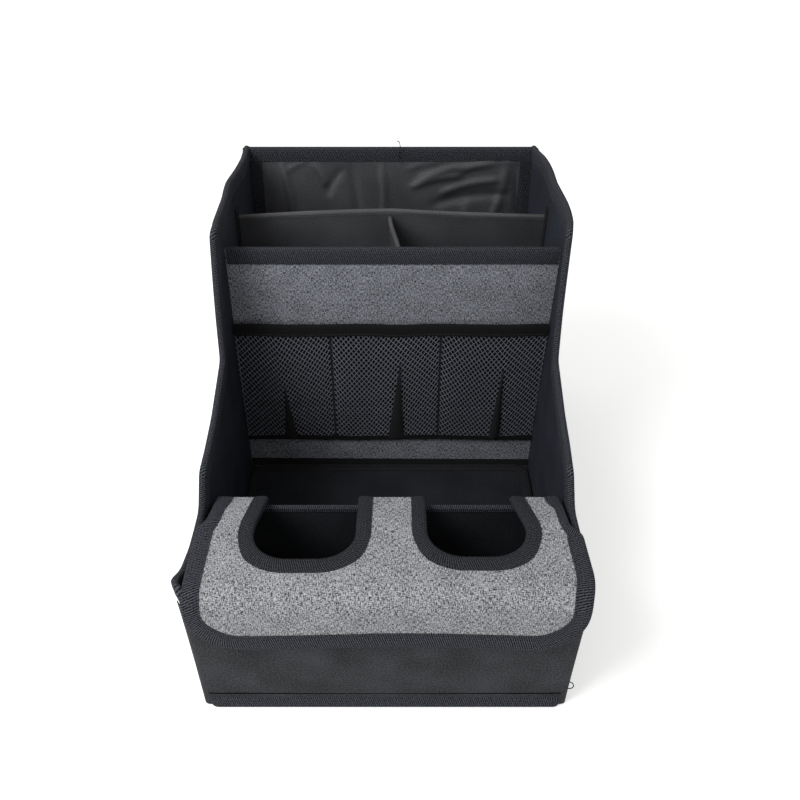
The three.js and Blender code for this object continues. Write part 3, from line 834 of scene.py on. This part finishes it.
# The skirt's section: outwards from the foot's outline, and up.
SKIRT = np.array([(0.15, SKIRT_TOP), (1.1, SKIRT_TOP + 0.2), (1.7, SKIRT_TOP - 1.4), (1.5, SKIRT_TOP - 2.8),
                  (2.3, 8.5), (3.0, 6), (3.8, 3), (4.2, 1.4), (3.6, 0.4), (2.2, 0.1), (1.6, 0.9), (1.9, 2.4),
                  (1.2, 5.5), (0.5, 8.5), (0.3, SKIRT_TOP - 3), (0.15, SKIRT_TOP - 1.4)])
SKIRT_RADIUS = 5.0
foot_line = rounded_chain([(0, DEPTH), (BASE_HALF, DEPTH, SKIRT_RADIUS), (BASE_HALF, 0, SKIRT_RADIUS),
                           (-BASE_HALF, 0, SKIRT_RADIUS), (-BASE_HALF, DEPTH, SKIRT_RADIUS), (0, DEPTH)])
foot_run = unit(np.gradient(foot_line, axis=0))
foot_out = np.column_stack([-foot_run[:, 1], foot_run[:, 0]])


def foot_ring(out, up, inward=0.0):
    """Rings round the foot: a section of places outwards and up, drawn in with the foot's outline."""
    flat = foot_line[:, None] + foot_out[:, None] * out[..., None] + inward
    height = np.broadcast_to(up, flat.shape[:2])
    return np.stack([drawn_in(flat[..., 0], flat[..., 1]), flat[..., 1], height], axis=-1)


TUCK, TUCK_WIDTH, TUCK_LENGTH = 4.5, 14, 16


def skirt_ring():
    """The flare is full in front and behind and small at the sides, and the corners are drawn in towards the
    ground."""
    out, up = SKIRT.T
    flare = (0.35 + 0.65 * np.abs(foot_out[:, 1]) ** 2)[:, None]
    held = np.minimum(out, 1.2)
    corner = np.abs(np.abs(foot_line[:, 0]) - BASE_HALF)
    near_end = np.minimum(foot_line[:, 1], DEPTH - foot_line[:, 1])
    drawn = (TUCK * smooth((TUCK_WIDTH - corner) / TUCK_WIDTH) * smooth((TUCK_LENGTH - near_end) / TUCK_LENGTH)
             * -np.sign(foot_line[:, 0]))
    low = smooth((SKIRT_TOP - 2 - up) / (SKIRT_TOP - 2))
    inward = np.stack([drawn[:, None] * low, np.zeros((len(drawn), len(low)))], axis=-1)
    return foot_ring(held + (out - held) * flare, up, inward)


add_tube("base_binding", skirt_ring(), TAPE, sharp=60)
# Painted shade: a near-black tube just above the skirt's upper selvedge stands for the shadow gap between the
# wall cloth and the skirt.
SHADOW_GAP_OUT, SHADOW_GAP_ABOVE, SHADOW_GAP_RADIUS = 1.3, 1.2, 0.9
turn = np.arange(8) * np.pi / 4
shadow_gap_ring = foot_ring((SHADOW_GAP_OUT + SHADOW_GAP_RADIUS * np.cos(turn))[None],
                      SKIRT_TOP + SHADOW_GAP_ABOVE + SHADOW_GAP_RADIUS * np.sin(turn))
add_tube("foot_shadow_gap", shadow_gap_ring, BACKING_AND_SHADE, slot="binding_tape")
STITCHES_OUT, STITCHES_BELOW = 1.7, 2.4
stitch_line = foot_ring(np.array([[STITCHES_OUT]]), np.array([SKIRT_TOP - STITCHES_BELOW]))[:, 0]
sew(stitch_line, np.column_stack([foot_out, np.zeros(len(foot_out))]), "carcass")
print(f"skirt of {len(foot_line)} stations")

# %% Floor board of the well
floor_low, floor_high = node_box("floor_board")
FLOOR_HALF = floor_high[0]
FLOOR_FRONT, FLOOR_BACK = floor_low[1] + DEPTH / 2, floor_high[1] + DEPTH / 2
FLOOR_MIDDLE, FLOOR_HALF_BUILD = (floor_low[2] + floor_high[2]) / 2, (floor_high[2] - floor_low[2]) / 2
FLOOR_RADIUS = 14


def floor_outline(inset):
    corners = [(x, y, FLOOR_RADIUS) for x, y in ((-FLOOR_HALF, FLOOR_FRONT), (-FLOOR_HALF, FLOOR_BACK),
                                                 (FLOOR_HALF, FLOOR_BACK), (FLOOR_HALF, FLOOR_FRONT))]
    return rounded_chain([(0, FLOOR_FRONT), *corners, (0, FLOOR_FRONT)], inset)[:-1]


def at_height(flat, height):
    """Places on the floor, drawn in like the foot, at one height."""
    return np.column_stack([drawn_in(*flat.T), flat[:, 1], np.full(len(flat), height)])


# The board is its outline shrunk towards its middle, so its faces follow the outline. The last small ring is
# filled with strips from one of its sides to the other.
outline = floor_outline(0)
count = len(outline) // 2 * 2
middle = np.array([0, (FLOOR_FRONT + FLOOR_BACK) / 2])
flat = (middle + (outline[:count] - middle) * np.linspace(0.04, 1, 25)[:, None, None]).reshape(-1, 2)
index = np.arange(len(flat)).reshape(-1, count)
turned = np.roll(index, -1, 1)
quads = np.stack([index[:-1], turned[:-1], turned[1:], index[1:]], -1).reshape(-1, 4)
low_side = np.arange(count // 2 - 1)
high_side = count - 1 - low_side
quads = np.concatenate([quads, np.column_stack([low_side, high_side, high_side - 1, low_side + 1])])
top = at_height(flat, floor_high[2])
first, quads = weld(top, quads)
points, faces = thick_sheet(top[first], at_height(flat, floor_low[2])[first], quads)
add_piece("floor_board", points, faces, WELL_CLOTH, points[:, :2], slot="oxford_cloth")


def floor_station(inwards):
    place = at_height(floor_outline(inwards), FLOOR_MIDDLE)
    return place, np.tile([0, 0, 1.0], (len(place), 1))


bind("floor_board_binding", floor_station, 9.0, FLOOR_HALF_BUILD, SEAM_TAPE, faces=(1,), closed=True)
print(f"floor board of {len(quads)} faces a side")

# %% [markdown]
# The lid is one padded flap: grey melange outside, thin board, and lining inside. It is sewn to the wall
# behind the cups by its three tongues, lies on the side rims, and folds over the front. It is laid out flat
# first, with one direction across and the other along the cloth from the front hem over the fold to the rear,
# and that flat pattern is then bent: the run along the cloth is looked up in a chain of lines and arcs.

# %% The lid's flat pattern
LID_UNDER = 114.2
HEM_HEIGHT = 72.0
LID_MIDDLE = 2.75
LID_MIDST = 1.5
lid_line = rounded_chain([(-5.0, HEM_HEIGHT), (-1.4, LID_UNDER, 9), (62, LID_UNDER, 40), (96.0, 106.0)],
                         -LID_MIDDLE, spacing=2.0)
lid_run = np.concatenate([[0], np.cumsum(np.linalg.norm(np.diff(lid_line, axis=0), axis=1))])
LID_LENGTH = lid_run[-1]
lid_tangent = unit(np.gradient(lid_line, lid_run, axis=0))
lid_normal = np.column_stack([-lid_tangent[:, 1], lid_tangent[:, 0]])


def run_at(y):
    """How far along the cloth a place on the lid's top is, from its distance behind the front face."""
    top = lid_line[:, 1] > LID_UNDER - 12
    return float(np.interp(y, lid_line[top][:, 0], lid_run[top]))


def bent(x, run, out):
    """A point of the flat pattern, bent: its run is looked up along the chain, and out is added along the
    normal."""
    place, normal = (np.column_stack([np.interp(run, lid_run, column) for column in line.T])
                     for line in (lid_line, lid_normal))
    normal = unit(normal)
    return np.column_stack([x, place + normal * (out - LID_MIDDLE)[:, None]]), np.column_stack([0 * x, normal])


fold_from = run_at(12)
LID_OUTLINE = [(125.2, LID_LENGTH), (125.6, run_at(60), 9), (133.2, run_at(51), 7), (134.4, fold_from, 60),
               (131.0, 41, 60), (127.4, 0, 36), (-128.8, 0, 36), (-131.2, fold_from, 140),
               (-131.2, run_at(57), 7), (-126.4, run_at(66), 9), (-124.6, LID_LENGTH)]


def lid_chain(inset=0):
    return rounded_chain(LID_OUTLINE, inset, spacing=2.5)


lid_outline = lid_chain()
LID_WIDTH = float(np.ptp(lid_outline[:, 0]))
CORNER_RUN, EDGE_FROM = 42.0, 88.0


def border(line, sense, middle, run):
    """Sideways place at a run, read from the part of a line that lies beyond its middle on one side."""
    beyond = line[(line[:, 0] - middle) * sense > 0]
    beyond = beyond[np.argsort(beyond[:, 1])]
    return np.interp(run, beyond[:, 1], beyond[:, 0])


def outer_edge(sense, run):
    return border(lid_outline, sense, sense * EDGE_FROM, run)


print(f"flat lid {LID_LENGTH:.0f} mm from hem to rear, {LID_WIDTH:.0f} mm wide")

# %% [markdown]
# Each cup opening is a U that is open to the rear. Its outer side curves in a little towards the hinge, where
# the wall behind the cups holds it. Five strips make the cloth: a tongue at each side, one between the cups,
# and the two pieces in front of the openings. Neighbouring strips give the same points along their shared
# border, so welding them makes one sheet with two openings.

# %% Openings of the lid
CUP_RADIUS = 26.0
CUPS = {"left": dict(low=-93.4, high=-21.0, front=run_at(28.3), low_bend=4.8, high_bend=0.0),
        "right": dict(low=26.4, high=97.2, front=run_at(30.3), low_bend=0.0, high_bend=7.6)}
for cup in CUPS.values():
    cup["turn"] = cup["front"] + CUP_RADIUS


def cup_chain(cup, inset=0.0):
    """The U of one opening, from its left rear end round the front to its right rear end."""
    low, high, front, low_bend, high_bend, _ = cup.values()
    bend_at = run_at(58)
    corners = [(low + low_bend, LID_LENGTH), (low + low_bend * 0.15, bend_at, 60), (low, front, CUP_RADIUS),
               (high, front, CUP_RADIUS), (high - high_bend * 0.15, bend_at, 60),
               (high - high_bend, LID_LENGTH)]
    return rounded_chain(corners, inset, spacing=2.0)


def cup_front(cup, x):
    """Run at which the opening starts, for places across it."""
    line = cup_chain(cup)
    low = line[line[:, 1] <= cup["turn"] + 0.5]
    return np.minimum(np.interp(x, low[:, 0], low[:, 1]), cup["turn"])


def cup_border(cup, sense, run):
    """Straight below the opening's turn, and the opening's own side above it."""
    side = border(cup_chain(cup), sense, (cup["low"] + cup["high"]) / 2, run)
    return np.where(run > cup["turn"] + 0.01, side, cup["low"] if sense < 0 else cup["high"])


# %% Strips of the lid
FRONT_ROWS, REAR_ROWS = 62, 30
early = CORNER_RUN * (1 - np.cos(np.linspace(0, np.pi / 2, 26)))


def front_rows(turn):
    """Runs of a strip's rows: crowded near the hem's round corners, and even over the fold."""
    return np.concatenate([early, np.linspace(CORNER_RUN, turn, FRONT_ROWS)[1:]])


def all_rows(turn):
    return np.concatenate([front_rows(turn), np.linspace(turn, LID_LENGTH, REAR_ROWS)[1:]])


def tongue(low_edge, high_edge, turn_low, turn_high, columns):
    """One strip to the rear: columns between two borders, rows whose run slides from one border's turn to the
    other's. Gives flat (x, run) points row by row."""
    share = np.linspace(0, 1, columns)
    run = all_rows(turn_low)[:, None] * (1 - share) + all_rows(turn_high)[:, None] * share
    low, high = low_edge(run), high_edge(run)
    return np.stack([low + (high - low) * share, run], axis=-1)


def apron(cup):
    """The strip in front of an opening: its rows end at the opening's round front."""
    x = cup["low"] + (cup["high"] - cup["low"]) * (1 - np.cos(np.pi * np.linspace(0, 1, 60))) / 2
    run = (front_rows(cup["turn"]) / cup["turn"])[:, None] * cup_front(cup, x)[None]
    return np.stack([np.broadcast_to(x, run.shape), run], axis=-1)


left, right = CUPS.values()
strips = [tongue(lambda run: outer_edge(-1, run), lambda run: cup_border(left, -1, run),
                 left["turn"], left["turn"], 18),
          tongue(lambda run: cup_border(left, 1, run), lambda run: cup_border(right, -1, run),
                 left["turn"], right["turn"], 20),
          tongue(lambda run: cup_border(right, 1, run), lambda run: outer_edge(1, run),
                 right["turn"], right["turn"], 18), apron(left), apron(right)]
starts = np.cumsum([0] + [strip[..., 0].size for strip in strips])
lid_flat = np.concatenate([strip.reshape(-1, 2) for strip in strips])
lid_quads = np.concatenate([grid_quads(*strip.shape[:2]) + start for strip, start in zip(strips, starts)])
first, lid_quads = weld(lid_flat, lid_quads)
lid_flat = lid_flat[first]
print(f"lid pattern of {len(lid_flat)} points, {len(free_edges(lid_quads))} free edges")

# %% Lid layers
HEM_RISE = np.array([(-130, 4.0), (-60, 4.8), (0, 5.0), (70, 2.4), (130, 1.4)]).T


def soft_lid(x, run, out):
    """The bent pattern with the gentle unevenness of a stitched flap: lower along the middle of the flap, and
    a slight crown between the openings and the fold."""
    short = np.interp(x, *HEM_RISE)
    points, normal = bent(x, run + short * (1 - np.clip(run / 40, 0, 1)), out + 0 * x)
    points[:, 1] += smooth((62 - run) / 50) * (1.2 * np.sin(x / 41 + 0.6) - 0.8)
    crown = np.exp(-((run - run_at(16)) / 14) ** 2)
    points[:, 2] += 0.8 * crown * np.cos((x - LID_MIDST) / LID_WIDTH * np.pi)
    return points, normal


for layer, near, far, finish in (("cover", 3.6, 4.6, LIGHT_MELANGE), ("board", 1.8, 3.3, CORE),
                                 ("lining", 0.9, 1.5, LINING)):
    high, low = (soft_lid(*lid_flat.T, out)[0] for out in (far, near))
    points, faces = thick_sheet(high, low, lid_quads)
    add_piece(f"lid_{layer}", points, faces, finish, np.tile(lid_flat, (2, 1)), body="lid")


def flat_station(chain_at, narrow):
    """Stations along an outline of the flat pattern: the outline moves inwards flat, and is bent after that.
    narrow(x, run) is the share of the tape's width that shows at a place."""
    def at(inwards):
        line = chain_at(inwards)
        if inwards > 0:
            edge = chain_at(0)
            line = edge + (line - edge) * narrow(*edge.T)[:, None]
        x, run = line.T
        points, normal = soft_lid(x, np.clip(run, -6, LID_LENGTH), LID_MIDDLE)
        return points + np.minimum(run, 0)[:, None] * (0, 0, 1.0), normal
    return at


def tape_share(x, run):
    """The edge tape narrows where the lid steps in between the side walls, more on the right."""
    start = np.where(x > 0, run_at(49), run_at(58))
    step = smooth((run - start) / 12) * smooth((run_at(92) - run) / 14)
    return 0.97 + 0.19 * smooth((30 - run) / 25) - np.where(x > 0, 0.42, 0.18) * step


def cup_share(x, run):
    """The tape of an opening lies flat round its front, and rolls in a little along its two sides."""
    return 1 - 0.2 * smooth((run - run_at(34)) / 14)


HALF_LID = 1.86
bind("lid_edge_binding", flat_station(lid_chain, tape_share), 11.6, HALF_LID, body="lid")
for hand, cup in CUPS.items():
    bind(f"{hand}_cup_binding", flat_station(lambda inset: cup_chain(cup, inset), cup_share), 12.2, HALF_LID,
         CUP_TAPE, body="lid")
print(f"{sum(map(len, stitches['lid']))} stitches on the lid")

# %% [markdown]
# The pocket is a knitted net, gathered into pleats at its foot and bound at its top. It is made of real
# strands: two families of flat yarns that cross on a slant, each a thin section carried along its own line.
# All strands of a family come from one array, because they differ only in where they start. The pleats tilt
# the net's diamonds one way and then the other, which shows as broad zones.

# %% Net of the pocket
POCKET_FOOT, POCKET_TOP, POCKET_RIM = 41.5, 160.0, 165.8
NET_LEFT, NET_RIGHT = -131.0, 133.5
YARN_HALF, YARN_BUILD = 0.34, 0.16
DIAMOND_WIDTH, DIAMOND_HEIGHT = 4.25, 5.75
SEAMS, SEAM_WIDTH = (-50.6, 43.0), 1.8
STRAND_STEPS = 60
# Places across the net where its slant changes, and the slope up to the next place.
ZONES = [(-140, -0.42), (-96, 0.42), (-50, -0.15), (-18, 0.35), (8, 0.4), (43, -0.4), (84, 0.1), (98, 0.42),
         (140, 0)]


def pocket_edges(z):
    """Left and right end of the net at a height: just inside the side walls' linings."""
    y = PANEL_Y - 5 + 0 * z
    return wall_x(-1, y, z, WALL + 1.0), wall_x(1, y, z, WALL + 1.0)


def pocket_y(x, z):
    """The net leans out from the panel towards its top, bellies a little, and is sewn down along two seams,
    each of which holds it by the bell 1 / (1 + (distance / 5)^2), squared."""
    up = np.clip((z - POCKET_FOOT) / (POCKET_TOP - POCKET_FOOT), 0, 1)
    out = 0.6 + 4.6 * up ** 1.3 + 2.2 * np.sin(np.pi * up) * np.sin(x / 15 + 1) ** 2
    sewn = sum(1 / (1 + ((x - seam) / 5) ** 2) ** 2 for seam in SEAMS) * (1 - up ** 4)
    return PANEL_Y - 1.6 - out * (1 - 0.85 * sewn)


def net_strands(lean):
    """One family of strands. Slant plus zone slope gives a line G(x) = x / slant + sum of zone slopes, and
    each strand is the inverse of G at its height plus its own start, so one table gives them all."""
    table_x = np.linspace(NET_LEFT, NET_RIGHT, 400)
    places, slopes = np.array(ZONES).T
    slid = np.interp(table_x, places, np.concatenate([[0], np.cumsum(np.diff(places) * slopes[:-1])]))
    table = table_x / (lean * DIAMOND_WIDTH / DIAMOND_HEIGHT) + slid
    low, high = table.min(), table.max()
    rise = POCKET_TOP - POCKET_FOOT
    starts = np.arange(low - rise, high, DIAMOND_HEIGHT)
    enter, leave = np.clip(low - starts, 0, rise), np.clip(high - starts, 0, rise)
    starts, enter, leave = (part[leave - enter > 2, None] for part in (starts, enter, leave))
    up = enter + (leave - enter) * np.linspace(0, 1, STRAND_STEPS)
    return np.interp(starts + up, table[::lean], table_x[::lean]), up + POCKET_FOOT


points, faces, uvs, count = [], [], [], 0
for lean, layer in ((1, 0.18), (-1, -0.18)):
    x, z = net_strands(lean)
    left, right = pocket_edges(z)
    across = left + (right - left) * (x - NET_LEFT) / (NET_RIGHT - NET_LEFT)
    line = np.stack([across, pocket_y(across, z) + layer, z], axis=-1)
    face = np.array([0, 1.0, 0])
    side = unit(np.cross(unit(np.gradient(line, axis=1)), face))
    section = [(-YARN_HALF, -YARN_BUILD * 0.3), (0, -YARN_BUILD), (YARN_HALF, -YARN_BUILD * 0.3),
               (0, YARN_BUILD)]
    ring = np.stack([line + side * a + face * b for a, b in section], axis=2)
    strands, steps, sides = ring.shape[:3]
    offset = count + np.arange(strands)[:, None, None] * steps * sides
    points.append(ring.reshape(-1, 3))
    faces.append((tube_faces(steps, sides)[None] + offset).reshape(-1, 4))
    uvs.append(np.stack(np.broadcast_arrays(z[:, :, None], np.arange(sides) * 0.5), axis=-1).reshape(-1, 2))
    count += len(points[-1])
add_piece("mesh_pocket", *map(np.concatenate, (points, faces)), NET, np.concatenate(uvs), sharp=60)
print(f"net of {2 * sum(map(len, faces))} triangles")


def pocket_station(inwards):
    share = np.linspace(0.002, 0.998, 120)
    z = POCKET_RIM + 0.4 * np.sin(share * 21) - inwards
    left, right = pocket_edges(z)
    x = left + share * (right - left)
    y = pocket_y(x, np.full_like(z, POCKET_TOP)) + 0.3 * np.sin(share * 33)
    return np.column_stack([x, y, z]), np.tile([0, 1.0, 0], (len(x), 1))


bind("mesh_pocket_binding", pocket_station, 10.8, 0.5, DARK_TAPE, faces=(-1,))

# %% [markdown]
# Small parts of the pocket: three pleats take up its fullness at the foot, each a wedge of doubled net drawn as
# a dark sheet that is partly painted shade of its folds, and a narrow tape closes the foot. The panel's own foot
# is covered with another tape above the floor board.

# %% Pleats and seams of the net
# Each pleat's tip (x, z), then the left and right end of its foot.
PLEATS_WITH_SHADE = [(-93.0, 104, -97.0, -86.0), (8.5, 128, -2.5, 12.0), (98.0, 124, 90.0, 100.0)]


def shaded_pleat_surface(tip_x, tip_z, left, right):
    """A wedge from its tip down to its foot: across is a share between two straight sides, swollen between."""
    def surface(share, up, depth):
        z = POCKET_FOOT + up * (tip_z - POCKET_FOOT)
        width = 1 - up
        x = tip_x * up + (left + (right - left) * share) * width
        swell = 1.6 * np.sin(np.pi * share) * width
        return np.column_stack([x, pocket_y(x, z) - 0.5 - swell - depth, z])
    return surface


def seam_surface(place):
    """A narrow line of doubled net down the pocket: across is a share of its width."""
    def surface(share, up, depth):
        z = POCKET_FOOT + up * (POCKET_TOP - 2 - POCKET_FOOT)
        x = place + SEAM_WIDTH * (share - 0.5)
        return np.column_stack([x, pocket_y(x, z) - 0.45 - depth, z])
    return surface


# The pleats are dark sheets: partly doubled net, partly painted shade of the folds.
for number, pleat in enumerate(PLEATS_WITH_SHADE, 1):
    add_sheet(f"pocket_pleat_shade_{number}", shaded_pleat_surface(*pleat), 9, np.linspace(0, 0.97, 24), (0, 0.4),
              SEAM_TAPE, slot="mesh_net")
for number, place in enumerate(SEAMS, 1):
    add_sheet(f"pocket_seam_{number}", seam_surface(place), 3, 40, (0, 0.4), SEAM_TAPE, slot="mesh_net")


# %% Strips between the side walls
def strip_surface(y_of, low, high):
    """(share across, share up, depth) to a strip that lies on something: y_of gives its place, and low and
    high give its lower and upper edge."""
    def surface(across, share, depth):
        left, right = pocket_edges(low(0.0) + share * (high(0.0) - low(0.0)))
        x = left + across * (right - left)
        z = low(x) + share * (high(x) - low(x))
        return np.column_stack([x, y_of(x, z) - depth, z])
    return surface


STRIP_SPAN = 260


def on_panel(x, z):
    return panel_y(0.5 + x / STRIP_SPAN, z) - 0.15


def on_pocket(x, z):
    return pocket_y(x, z) - 0.4


# The pocket backing is near-black: partly a backing cloth, partly painted shade inside the pocket behind the
# net.
STRIPS = {"pocket_backing": (on_panel, lambda x: 42.5, lambda x: POCKET_RIM - 7, 50, 0.3, BACKING_AND_SHADE),
          "pocket_foot_tape": (on_pocket, lambda x: 39.2 + 0.5 * np.sin(x / 23),
                               lambda x: 44.0 + 0.5 * np.sin(x / 19), 6, 0.5, DARK_TAPE),
          "panel_foot_tape": (on_panel, lambda x: 5.4, lambda x: 13.8 - 1.6 * x / STRIP_SPAN, 6, 0.7,
                              SEAM_TAPE)}
for name, (y_of, low, high, rows, build, finish) in STRIPS.items():
    add_sheet(name, strip_surface(y_of, low, high), 120, rows, (0, build), finish)
print(f"{len(PLEATS_WITH_SHADE)} pleats, {len(SEAMS)} seams and {len(STRIPS)} strips")

# %% [markdown]
# The seams inside the tall rear: where the back meets the sides, a dark strip stands for the bound seam
# allowance and for the painted shade of that corner, and the cross divider is sewn to each side with a small tab
# that stands a little above it.

# %% Seam tapes of the rear
def corner_shade_strip(side):
    """A dark strip on the back lining beside a side wall: seam tape, and partly painted shade of the corner."""
    def surface(share, up, depth):
        z = 6 + up * (BACK_TOP - 18)
        x = wall_x(side, DEPTH - 8, z, WALL + 0.5 + share * 10.5)
        return np.column_stack([x, back_y((x / BASE_HALF + 1) / 2, z) - WALL - 0.35 - depth, z])
    return surface


def tab(side):
    """A narrow tape on the side wall that stands up where the divider ends."""
    def surface(share, up, depth):
        z = 8 + up * 227
        y = CROSS_Y - 9 + 8.0 * share + 0.6 * np.sin(z / 17)
        return np.column_stack([wall_x(side, y, z, WALL + 0.35 + depth), y, z])
    return surface


for side, hand in HANDS:
    add_sheet(f"{hand}_corner_tape", corner_shade_strip(side), 7, 80, (0, 0.6), CUP_TAPE)
    add_sheet(f"{hand}_divider_tape", tab(side), 7, 80, (0, 0.7), SEAM_TAPE, plane=(1, 2))

# %% All stitches, as one piece for each body
for body, parts in stitches.items():
    places = np.concatenate(parts)
    faces = STITCH_FACES[None] + np.arange(len(places))[:, None, None] * len(STITCH)
    points = places.reshape(-1, 3)
    add_piece(f"{body}_stitches", points, faces.reshape(-1, 4), THREAD, points[:, [0, 2]], body=body, sharp=80)
print(f"{sum(len(piece.data.polygons) for piece in pieces.values())} faces so far")

# %% [markdown]
# Two loose thread ends show in the photograph: one stands up from the join of the tape on the back wall, and a
# small loop comes out of the right front edge. Each is a round thread along a short bent line.

# %% Loose thread ends
THREAD_RADIUS = 0.35


def loose_thread(name, bends):
    """Circles of one radius, at right angles to a soft line through a few places."""
    bends = np.array(bends, float)
    knots = np.linspace(0, 1, len(bends))
    line = np.column_stack([np.interp(np.linspace(0, 1, 30), knots, column) for column in bends.T])
    for _ in range(3):
        line[1:-1] = (line[:-2] + line[1:-1] + line[2:]) / 3
    run = unit(np.gradient(line, axis=0))
    side = unit(np.cross(run, [0.3, 1.0, 0.1]))
    other = np.cross(run, side)
    angle = (np.arange(8) * np.pi / 4)[None, :, None]
    ring = line[:, None] + THREAD_RADIUS * (np.cos(angle) * side[:, None] + np.sin(angle) * other[:, None])
    add_tube(name, ring, DARK_TAPE)


inside = DEPTH - WALL - 2.6
loose_thread("back_thread_end", [(8.6, inside, 249), (8.2, inside - 0.4, 256), (8.8, inside, 262),
                                 (8.0, inside + 1, 266), (5.6, inside + 1, 267)])
loose_thread("front_thread_loop", [(126.2, -1.2, 19), (128.6, -2.6, 21), (130.2, -2.8, 24), (129.0, -2.4, 27),
                                   (127.0, -1.4, 27)])
print("two loose thread ends")

# %% [markdown]
# Every cloth's size as it is cut, in the flat, is printed. Widths and heights come from the packed boxes of
# the walls. The side walls and the lid aren't rectangles, so the share of their rectangle that the cut fills is
# given too, and the net's share is that of its yarn, because most of a net is holes.

# %% Cut sizes of the cloths
def cut(name, width, length, held, rests_on, with_pieces=(), share=None):
    """Prints one sheet's cut in mm and how it is held; share is the part of that rectangle that the cut fills.
    """
    area = None if share is None else share * width * length * MM ** 2
    width * MM
    length * MM
    [pieces[piece] for piece in with_pieces]
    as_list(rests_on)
    print(f"{name}: cut {width:.0f} x {length:.0f} mm, {held}")


WIDE = 2 * BASE_HALF
INSIDE = WIDE - 2 * WALL
FRONT_TALL, BACK_TALL, PANEL_TALL = FRONT_TOP - FOOT, BACK_TOP - FOOT, PANEL_TOP - PANEL_FOOT
HUNG_TALL = CROSS_TOP - PANEL_FOOT
SIDE_SHARE = wall_area / (DEPTH * TALL * MM ** 2)
for _, hand in HANDS:
    for layer, tape in (("outer_cloth", "side_edge_binding"), ("lining", "divider_tape")):
        cut(f"{hand}_side_{layer}", DEPTH, TALL, "stretched", [f"{hand}_side_board"], [f"{hand}_{tape}"],
            SIDE_SHARE)

SIDES = ["left_side_lining", "right_side_lining"]
NET_CUT, NET_SHARE = (290, 126), 0.4
for said in (
        ("front_outer_cloth", WIDE + 2 * WRAP, FRONT_TALL, "stretched", ["front_board"],
         ["front_top_binding"]),
        ("front_lining", INSIDE, FRONT_TALL, "stretched", ["front_board"]),
        ("back_outer_cloth", WIDE + 2 * WRAP, BACK_TALL, "stretched", ["back_board"], ["back_top_binding"]),
        ("back_lining", INSIDE + 6, BACK_TALL + 3, "stretched", ["back_board"],
         ["left_corner_tape", "right_corner_tape"]),
        ("pocket_panel_face", INSIDE + 4, PANEL_TALL, "stretched", ["pocket_panel_board"],
         ["pocket_panel_binding", "panel_foot_tape"]),
        ("pocket_panel_lining", INSIDE + 4, PANEL_TALL, "stretched", ["pocket_panel_board"]),
        ("pocket_backing", INSIDE + 4, POCKET_RIM - POCKET_FOOT, "stretched", ["pocket_panel_face"]),
        ("cross_divider", INSIDE + 4, HUNG_TALL, "hung", SIDES, ["cross_divider_hem"]),
        ("centre_divider", CENTRE_BACK - CENTRE_FRONT, HUNG_TALL, "hung",
         ["cross_divider", "pocket_panel_lining"], ["centre_divider_hem"]),
        ("cup_wall", INSIDE + 2, CUP_WALL_TOP - PANEL_FOOT, "hung", SIDES, ["cup_wall_hem"]),
        ("base_outer_cloth", WIDE, DEPTH, "stretched", ["base_board"], ["base_binding", "foot_shadow_gap"]),
        ("base_lining", INSIDE, DEPTH - 2 * WALL, "stretched", ["base_board"]),
        ("mesh_pocket", *NET_CUT, "gathered", ["pocket_panel_face"],
         ["mesh_pocket_binding", "pocket_foot_tape", "pocket_seam_1", "pocket_seam_2"], NET_SHARE)):
    cut(*said)
for number, (_, tip_z, left, right) in enumerate(PLEATS_WITH_SHADE, 1):
    cut(f"pocket_pleat_shade_{number}", right - left, tip_z - POCKET_FOOT, "folded", ["mesh_pocket"], share=0.5)
CUP_CUT = 78 * 68
LID_SHARE = 1 - 2 * CUP_CUT / (LID_WIDTH * LID_LENGTH)
for layer, tapes in (("cover", ["lid_edge_binding", "left_cup_binding", "right_cup_binding"]), ("lining", [])):
    cut(f"lid_{layer}", LID_WIDTH, float(LID_LENGTH), "stretched", ["lid_board"], tapes, LID_SHARE)

# %% [markdown]
# The floor is white and lit until it clips, so the page stays white around the object while its soft shadow
# still shows. The key lamp is large and stands to the upper left, as the shadow to the right says.

# %% Floor and light
def floor_finish():
    """White paper. What the camera sees of it directly gets some light of its own, so that it stays white."""
    finish = Finish("white_paper", None, roughness=0.9, specular=0.1)
    finish.shader.inputs["Base Color"].default_value = (0.93, 0.93, 0.925, 1)
    finish.shader.inputs["Emission Strength"].default_value = 1.0
    camera_ray, glossy, through = (finish.node("ShaderNodeLightPath", {}, {}, output=f"Is {kind} Ray")
                                   for kind in ("Camera", "Glossy", "Transmission"))
    direct = camera_ray.math("MAXIMUM", glossy).math("MAXIMUM", through)
    finish.feed("Emission Color", finish.mix(direct, (0, 0, 0, 1), (0.42, 0.42, 0.415, 1)))
    return finish


FLOOR_REACH, FLOOR_LOW = 4000, -0.3
corners = [(x * FLOOR_REACH, y * FLOOR_REACH + 400, FLOOR_LOW)
           for x, y in ((-1, -1), (1, -1), (1, 1), (-1, 1))]
paper = place_mesh("floor", np.array(corners, float), np.array([[0, 1, 2, 3]]))
paper.data.materials.append(floor_finish().material)

world = bpy.data.worlds.new("studio")
bpy.context.scene.world = world
world.use_nodes = True
world.node_tree.nodes["Background"].inputs["Color"].default_value = (1, 1, 1, 1)
world.node_tree.nodes["Background"].inputs["Strength"].default_value = 0.62


def lamp(name, place, aim, size, power):
    """A square area lamp at a place, turned to face a point."""
    data = bpy.data.lights.new(name, "AREA")
    data.size = size
    data.energy = power
    made = bpy.data.objects.new(name, data)
    bpy.context.scene.collection.objects.link(made)
    made.location = place
    x, y, z = np.array(aim) - np.array(place)
    made.rotation_euler = (math.atan2(math.hypot(x, y), -z), 0, math.atan2(y, x) - math.pi / 2)


lamp("key", (-0.78, -0.6, 1.15), (0, 0, 0.08), 0.7, 15.5)
bpy.context.scene.view_settings.view_transform = "Standard"
print("white floor, one lamp")
